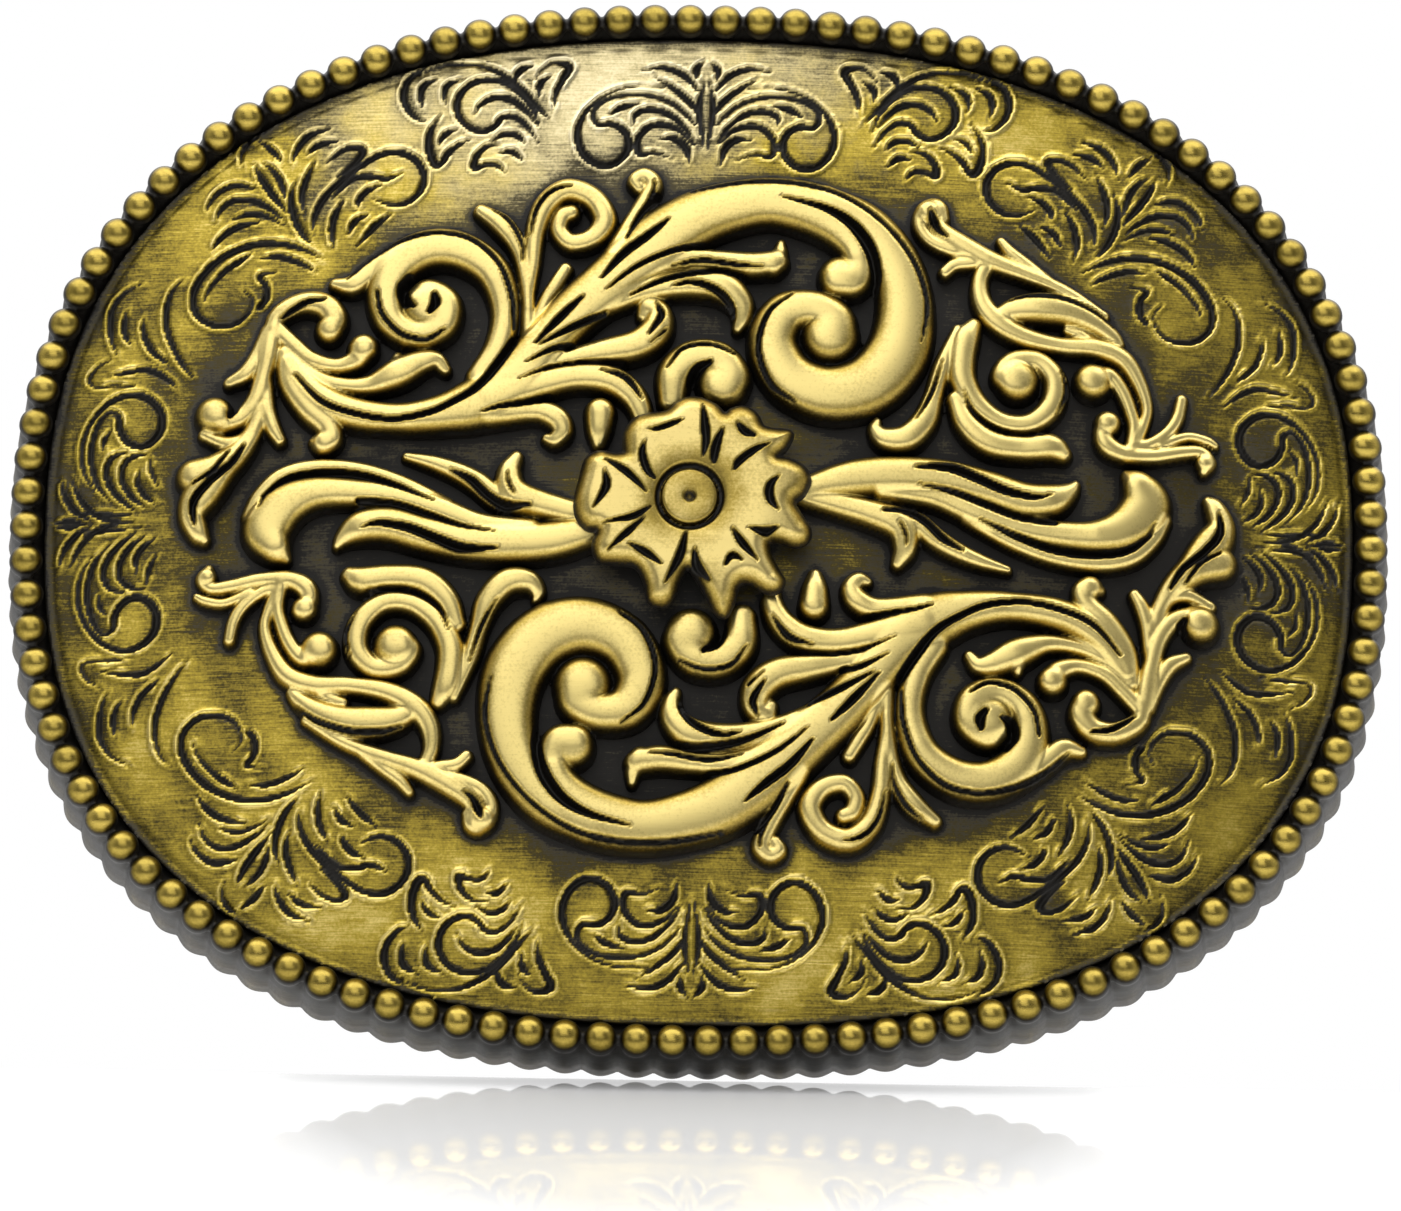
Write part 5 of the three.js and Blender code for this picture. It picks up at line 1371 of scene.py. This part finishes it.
def hinge_lug(name):
    """A bored block with bevelled edges, with its foot sunk in the plate."""
    low, high = cad(name)
    angle = np.arange(LUG_SIDES) * 2 * np.pi / LUG_SIDES
    back = BEAD_PLANE + BEND * HINGE[0] ** 2 - dome(HINGE[0], high[2]) + PLATE_THICKNESS
    outline = lug_reach(angle, HINGE[1] - back + LUG_SUNK)
    bore = np.full(LUG_SIDES, LUG_BORE)
    section = (
        (low[2], outline - LUG_BEVEL), (low[2] + LUG_BEVEL, outline),
        (high[2] - LUG_BEVEL, outline), (high[2], outline - LUG_BEVEL),
        (high[2], bore + LUG_BEVEL), (high[2] - LUG_BEVEL, bore),
        (low[2] + LUG_BEVEL, bore), (low[2], bore + LUG_BEVEL),
    )
    rings = []
    for z, radius in section:
        x, y = HINGE[0] + radius * np.cos(angle), HINGE[1] + radius * np.sin(angle)
        rings.append(np.stack([x, y, np.full(LUG_SIDES, z)], axis=-1))
    points = np.concatenate(rings)
    faces = facing_out(points, [grid_faces(len(rings), LUG_SIDES, wrap_rows=True)])
    add_piece(name, points, faces, "back_brass", BACK_BRASS, patina_and_shade=0.15)


def bail_path():
    """The wire's centre line in its own plane, as (out from the hinge axis, up)."""
    corners = np.array([
        (0, BAIL_PIN_END), (0, BAIL_HALF_HEIGHT), (BAIL_REACH, BAIL_HALF_HEIGHT),
        (BAIL_REACH, -BAIL_HALF_HEIGHT), (0, -BAIL_HALF_HEIGHT), (0, -BAIL_PIN_END),
    ])
    path = [corners[:1]]
    turn = np.linspace(0, np.pi / 2, BAIL_CORNER_STEPS)[:, None]
    for before, corner, after in zip(corners, corners[1:], corners[2:]):
        back = (before - corner) / np.linalg.norm(before - corner)
        ahead = (after - corner) / np.linalg.norm(after - corner)
        centre = corner + BAIL_CORNER * (back + ahead)
        path.append(centre - BAIL_CORNER * (ahead * np.cos(turn) + back * np.sin(turn)))
    return np.vstack(path + [corners[-1:]])


def bail_loop():
    """Round wire along the path, with a small bevel at both ends."""
    path = bail_path()
    way = np.gradient(path, axis=0)
    way /= np.linalg.norm(way, axis=1, keepdims=True)
    out = np.array((math.cos(BAIL_REST), math.sin(BAIL_REST), 0))
    normal = np.array((-math.sin(BAIL_REST), math.cos(BAIL_REST), 0))
    up = np.array((0, 0, 1))
    angle = np.arange(WIRE_SIDES)[:, None] * 2 * np.pi / WIRE_SIDES
    end = len(path) - 1
    # Index on the path, share of the wire's radius and shift along the wire.
    stations = [(0, 0.8, 0), (0, 1, PIN_BEVEL)] + [(k, 1, 0) for k in range(1, end)]
    stations += [(end, 1, -PIN_BEVEL), (end, 0.8, 0)]
    rings = []
    for k, size, shift in stations:
        spot = path[k] + way[k] * shift
        side = way[k][1] * out - way[k][0] * up
        wheel = np.cos(angle) * side + np.sin(angle) * normal
        rings.append(HINGE + out * spot[0] + up * spot[1] + size * WIRE_RADIUS * wheel)
    points, faces = tube(rings, (rings[0].mean(0), rings[-1].mean(0)))
    add_piece("bail_loop", points, facing_out(points, faces), "loop_steel", LOOP_STEEL, body="bail")


def belt_hook():
    """An oval pad, with its foot sunk in the plate, and a knobbed post that leans towards the bail."""

    def on_pad(radius, height, angle):
        x = HOOK_X + radius * np.cos(angle) + 0 * height
        z = HOOK_PAD_STRETCH * radius * np.sin(angle) + 0 * height
        foot = place_on_plate(x, z, HOOK_PAD_SUNK - PLATE_THICKNESS)[..., 1]
        return np.stack([x, np.where(height < HOOK_FOOT, foot, HOOK_FACE + height), z], axis=-1)

    def on_post(radius, height, angle):
        side = radius * np.cos(angle)
        x = HOOK_X + side * math.cos(HOOK_LEAN) + height * math.sin(HOOK_LEAN)
        y = HOOK_FACE - side * math.sin(HOOK_LEAN) + height * math.cos(HOOK_LEAN)
        return np.stack([x, y, radius * np.sin(angle) + 0 * height], axis=-1)

    pad = [(0, 2 * HOOK_FOOT), (HOOK_PAD_RADIUS, 2 * HOOK_FOOT)]
    pad += [(HOOK_PAD_RADIUS - bevel, height) for bevel, height in HOOK_PAD_BEVELS]
    points, faces = joined(lathe(pad + [(0, 0)], 80, on_pad), lathe(HOOK_POST, 64, on_post))
    add_piece("belt_hook", points, faces, "back_brass", BACK_BRASS, patina_and_shade=0.1)


hinge_lug("upper_hinge_lug")
hinge_lug("lower_hinge_lug")
bail_loop()
belt_hook()

# Stage: floor, light and camera ------------------------------------------------------------------

FLOOR_SLOPE = math.radians(20)
FLOOR_SPAN = 3.0  # metres
FLOOR_GAP = 0.00005  # metres
FLOOR_GLOW = 0.12
FLOOR_FADE = (80, 150)  # millimetres from the middle of the buckle, less to its sides
LIGHT_DISTANCE = 2.5  # metres
CAMERA_ELEVATION = -14.32  # degrees
CAMERA_ROLL = math.radians(-1.0)
CAMERA_DISTANCE = 1.0  # metres
CAMERA_LENS = 361.8
CAMERA_SENSOR = 36
AIM_RIGHT = 0.11  # from the middle of the beads
AIM_DOWN = 5.56


def pale_floor():
    """A pale, glossy floor: level behind the buckle and falling away in front of it. Further off it
    turns white to the camera, so that it has no visible far edge."""
    n = Surface("pale_floor")
    mottle = n.noise((0.02, 0.02, 0.02), detail=2)
    away = n.vector("LENGTH", n.vector("MULTIPLY", n.spot, (2.5, 1, 1)), output="Value")
    seen = n.node("ShaderNodeLightPath").outputs["Is Camera Ray"]
    material = n.finish({
        "Base Color": n.ramp(mottle, (0.3, 0.7), ((0.86, 0.86, 0.86), (0.9, 0.9, 0.9))),
        "Roughness": n.spread(mottle, 0.3, 0.7, 0.03, 0.05),
        "IOR": 1.35,
        "Emission Color": (1, 1, 1, 1),
        "Emission Strength": n.math("MULTIPLY_ADD", n.spread(away, *FLOOR_FADE), seen, FLOOR_GLOW),
    })
    edge_y = (BEAD_PLANE + RIM_DEPTH) * MM
    edge_z = RIM_LOW[2] * MM - FLOOR_GAP
    drop = FLOOR_SPAN * math.tan(FLOOR_SLOPE)
    line = [(edge_y - FLOOR_SPAN, edge_z - drop), (edge_y, edge_z), (edge_y + FLOOR_SPAN, edge_z)]
    points = [(side * FLOOR_SPAN, y, z) for y, z in line for side in (-1, 1)]
    mesh = bpy.data.meshes.new("floor")
    mesh.from_pydata(points, [], [(0, 1, 3, 2), (2, 3, 5, 4)])
    mesh.materials.append(material)
    floor = bpy.data.objects.new("floor", mesh)
    bpy.context.scene.collection.objects.link(floor)


def sight(azimuth, elevation):
    """Unit vector from the buckle towards a place seen at these angles; azimuth 0 is in front."""
    a, e = math.radians(azimuth), math.radians(elevation)
    return Vector((math.sin(a) * math.cos(e), -math.cos(a) * math.cos(e), math.sin(e)))


def soft_light(name, azimuth, elevation, width, height, radiance):
    """A rectangular light that fills width by height degrees of the buckle's surroundings."""
    data = bpy.data.lights.new(name, "AREA")
    data.shape = "RECTANGLE"
    data.size = 2 * LIGHT_DISTANCE * math.tan(math.radians(width / 2))
    data.size_y = 2 * LIGHT_DISTANCE * math.tan(math.radians(height / 2))
    data.energy = radiance * math.pi * data.size * data.size_y
    light = bpy.data.objects.new(name, data)
    light.location = LIGHT_DISTANCE * sight(azimuth, elevation)
    light.rotation_euler = sight(azimuth, elevation).to_track_quat("Z", "Y").to_euler()
    light.visible_camera = False
    bpy.context.scene.collection.objects.link(light)


def world():
    """Plain soft surroundings, white to the camera, and dimmer in front of the buckle and below it."""
    studio = bpy.data.worlds.new("studio")
    n = Nodes(studio)
    way = n.node("ShaderNodeSeparateXYZ", {0: n.node("ShaderNodeTexCoord").outputs["Generated"]}).outputs
    behind = n.spread(way["Y"], -0.9, 0.4, 0.12, 1.0)
    above = n.spread(way["Z"], -0.35, 0.35, 0.4, 1.0)
    seen = n.node("ShaderNodeLightPath").outputs["Is Camera Ray"]
    light = n.node("ShaderNodeMix", {"Factor": seen, "A": n.math("MULTIPLY", behind, above), "B": 1.0})
    strength = light.outputs["Result"]
    background = n.node("ShaderNodeBackground", {"Color": (1, 1, 1, 1), "Strength": strength})
    n.node("ShaderNodeOutputWorld", {"Surface": background.outputs[0]})
    bpy.context.scene.world = studio


def camera():
    """The photograph's view: from straight in front and a little below, through a long lens."""
    back = sight(0, CAMERA_ELEVATION)
    level_right = Vector((1, 0, 0))
    level_up = back.cross(level_right)
    right = level_right * math.cos(CAMERA_ROLL) - level_up * math.sin(CAMERA_ROLL)
    up = level_right * math.sin(CAMERA_ROLL) + level_up * math.cos(CAMERA_ROLL)
    aim = Vector((0, BEAD_PLANE, 0)) + AIM_RIGHT * right - AIM_DOWN * up
    data = bpy.data.cameras.new("camera")
    data.sensor_width = CAMERA_SENSOR
    data.lens = CAMERA_LENS
    data.clip_start = 0.05
    data.clip_end = 20
    eye = bpy.data.objects.new("camera", data)
    turn = Matrix((right, up, back)).transposed().to_4x4()
    eye.matrix_world = Matrix.Translation(aim * MM + back * CAMERA_DISTANCE) @ turn
    bpy.context.scene.collection.objects.link(eye)
    bpy.context.scene.camera = eye


pale_floor()
soft_light("front_softbox", azimuth=-12, elevation=26, width=46, height=34, radiance=1.22)
soft_light("low_softbox", azimuth=-3, elevation=1, width=50, height=16, radiance=0.85)
soft_light("top_softbox", azimuth=0, elevation=90, width=90, height=90, radiance=1.7)
world()
camera()
bpy.context.scene.view_settings.view_transform = "Standard"
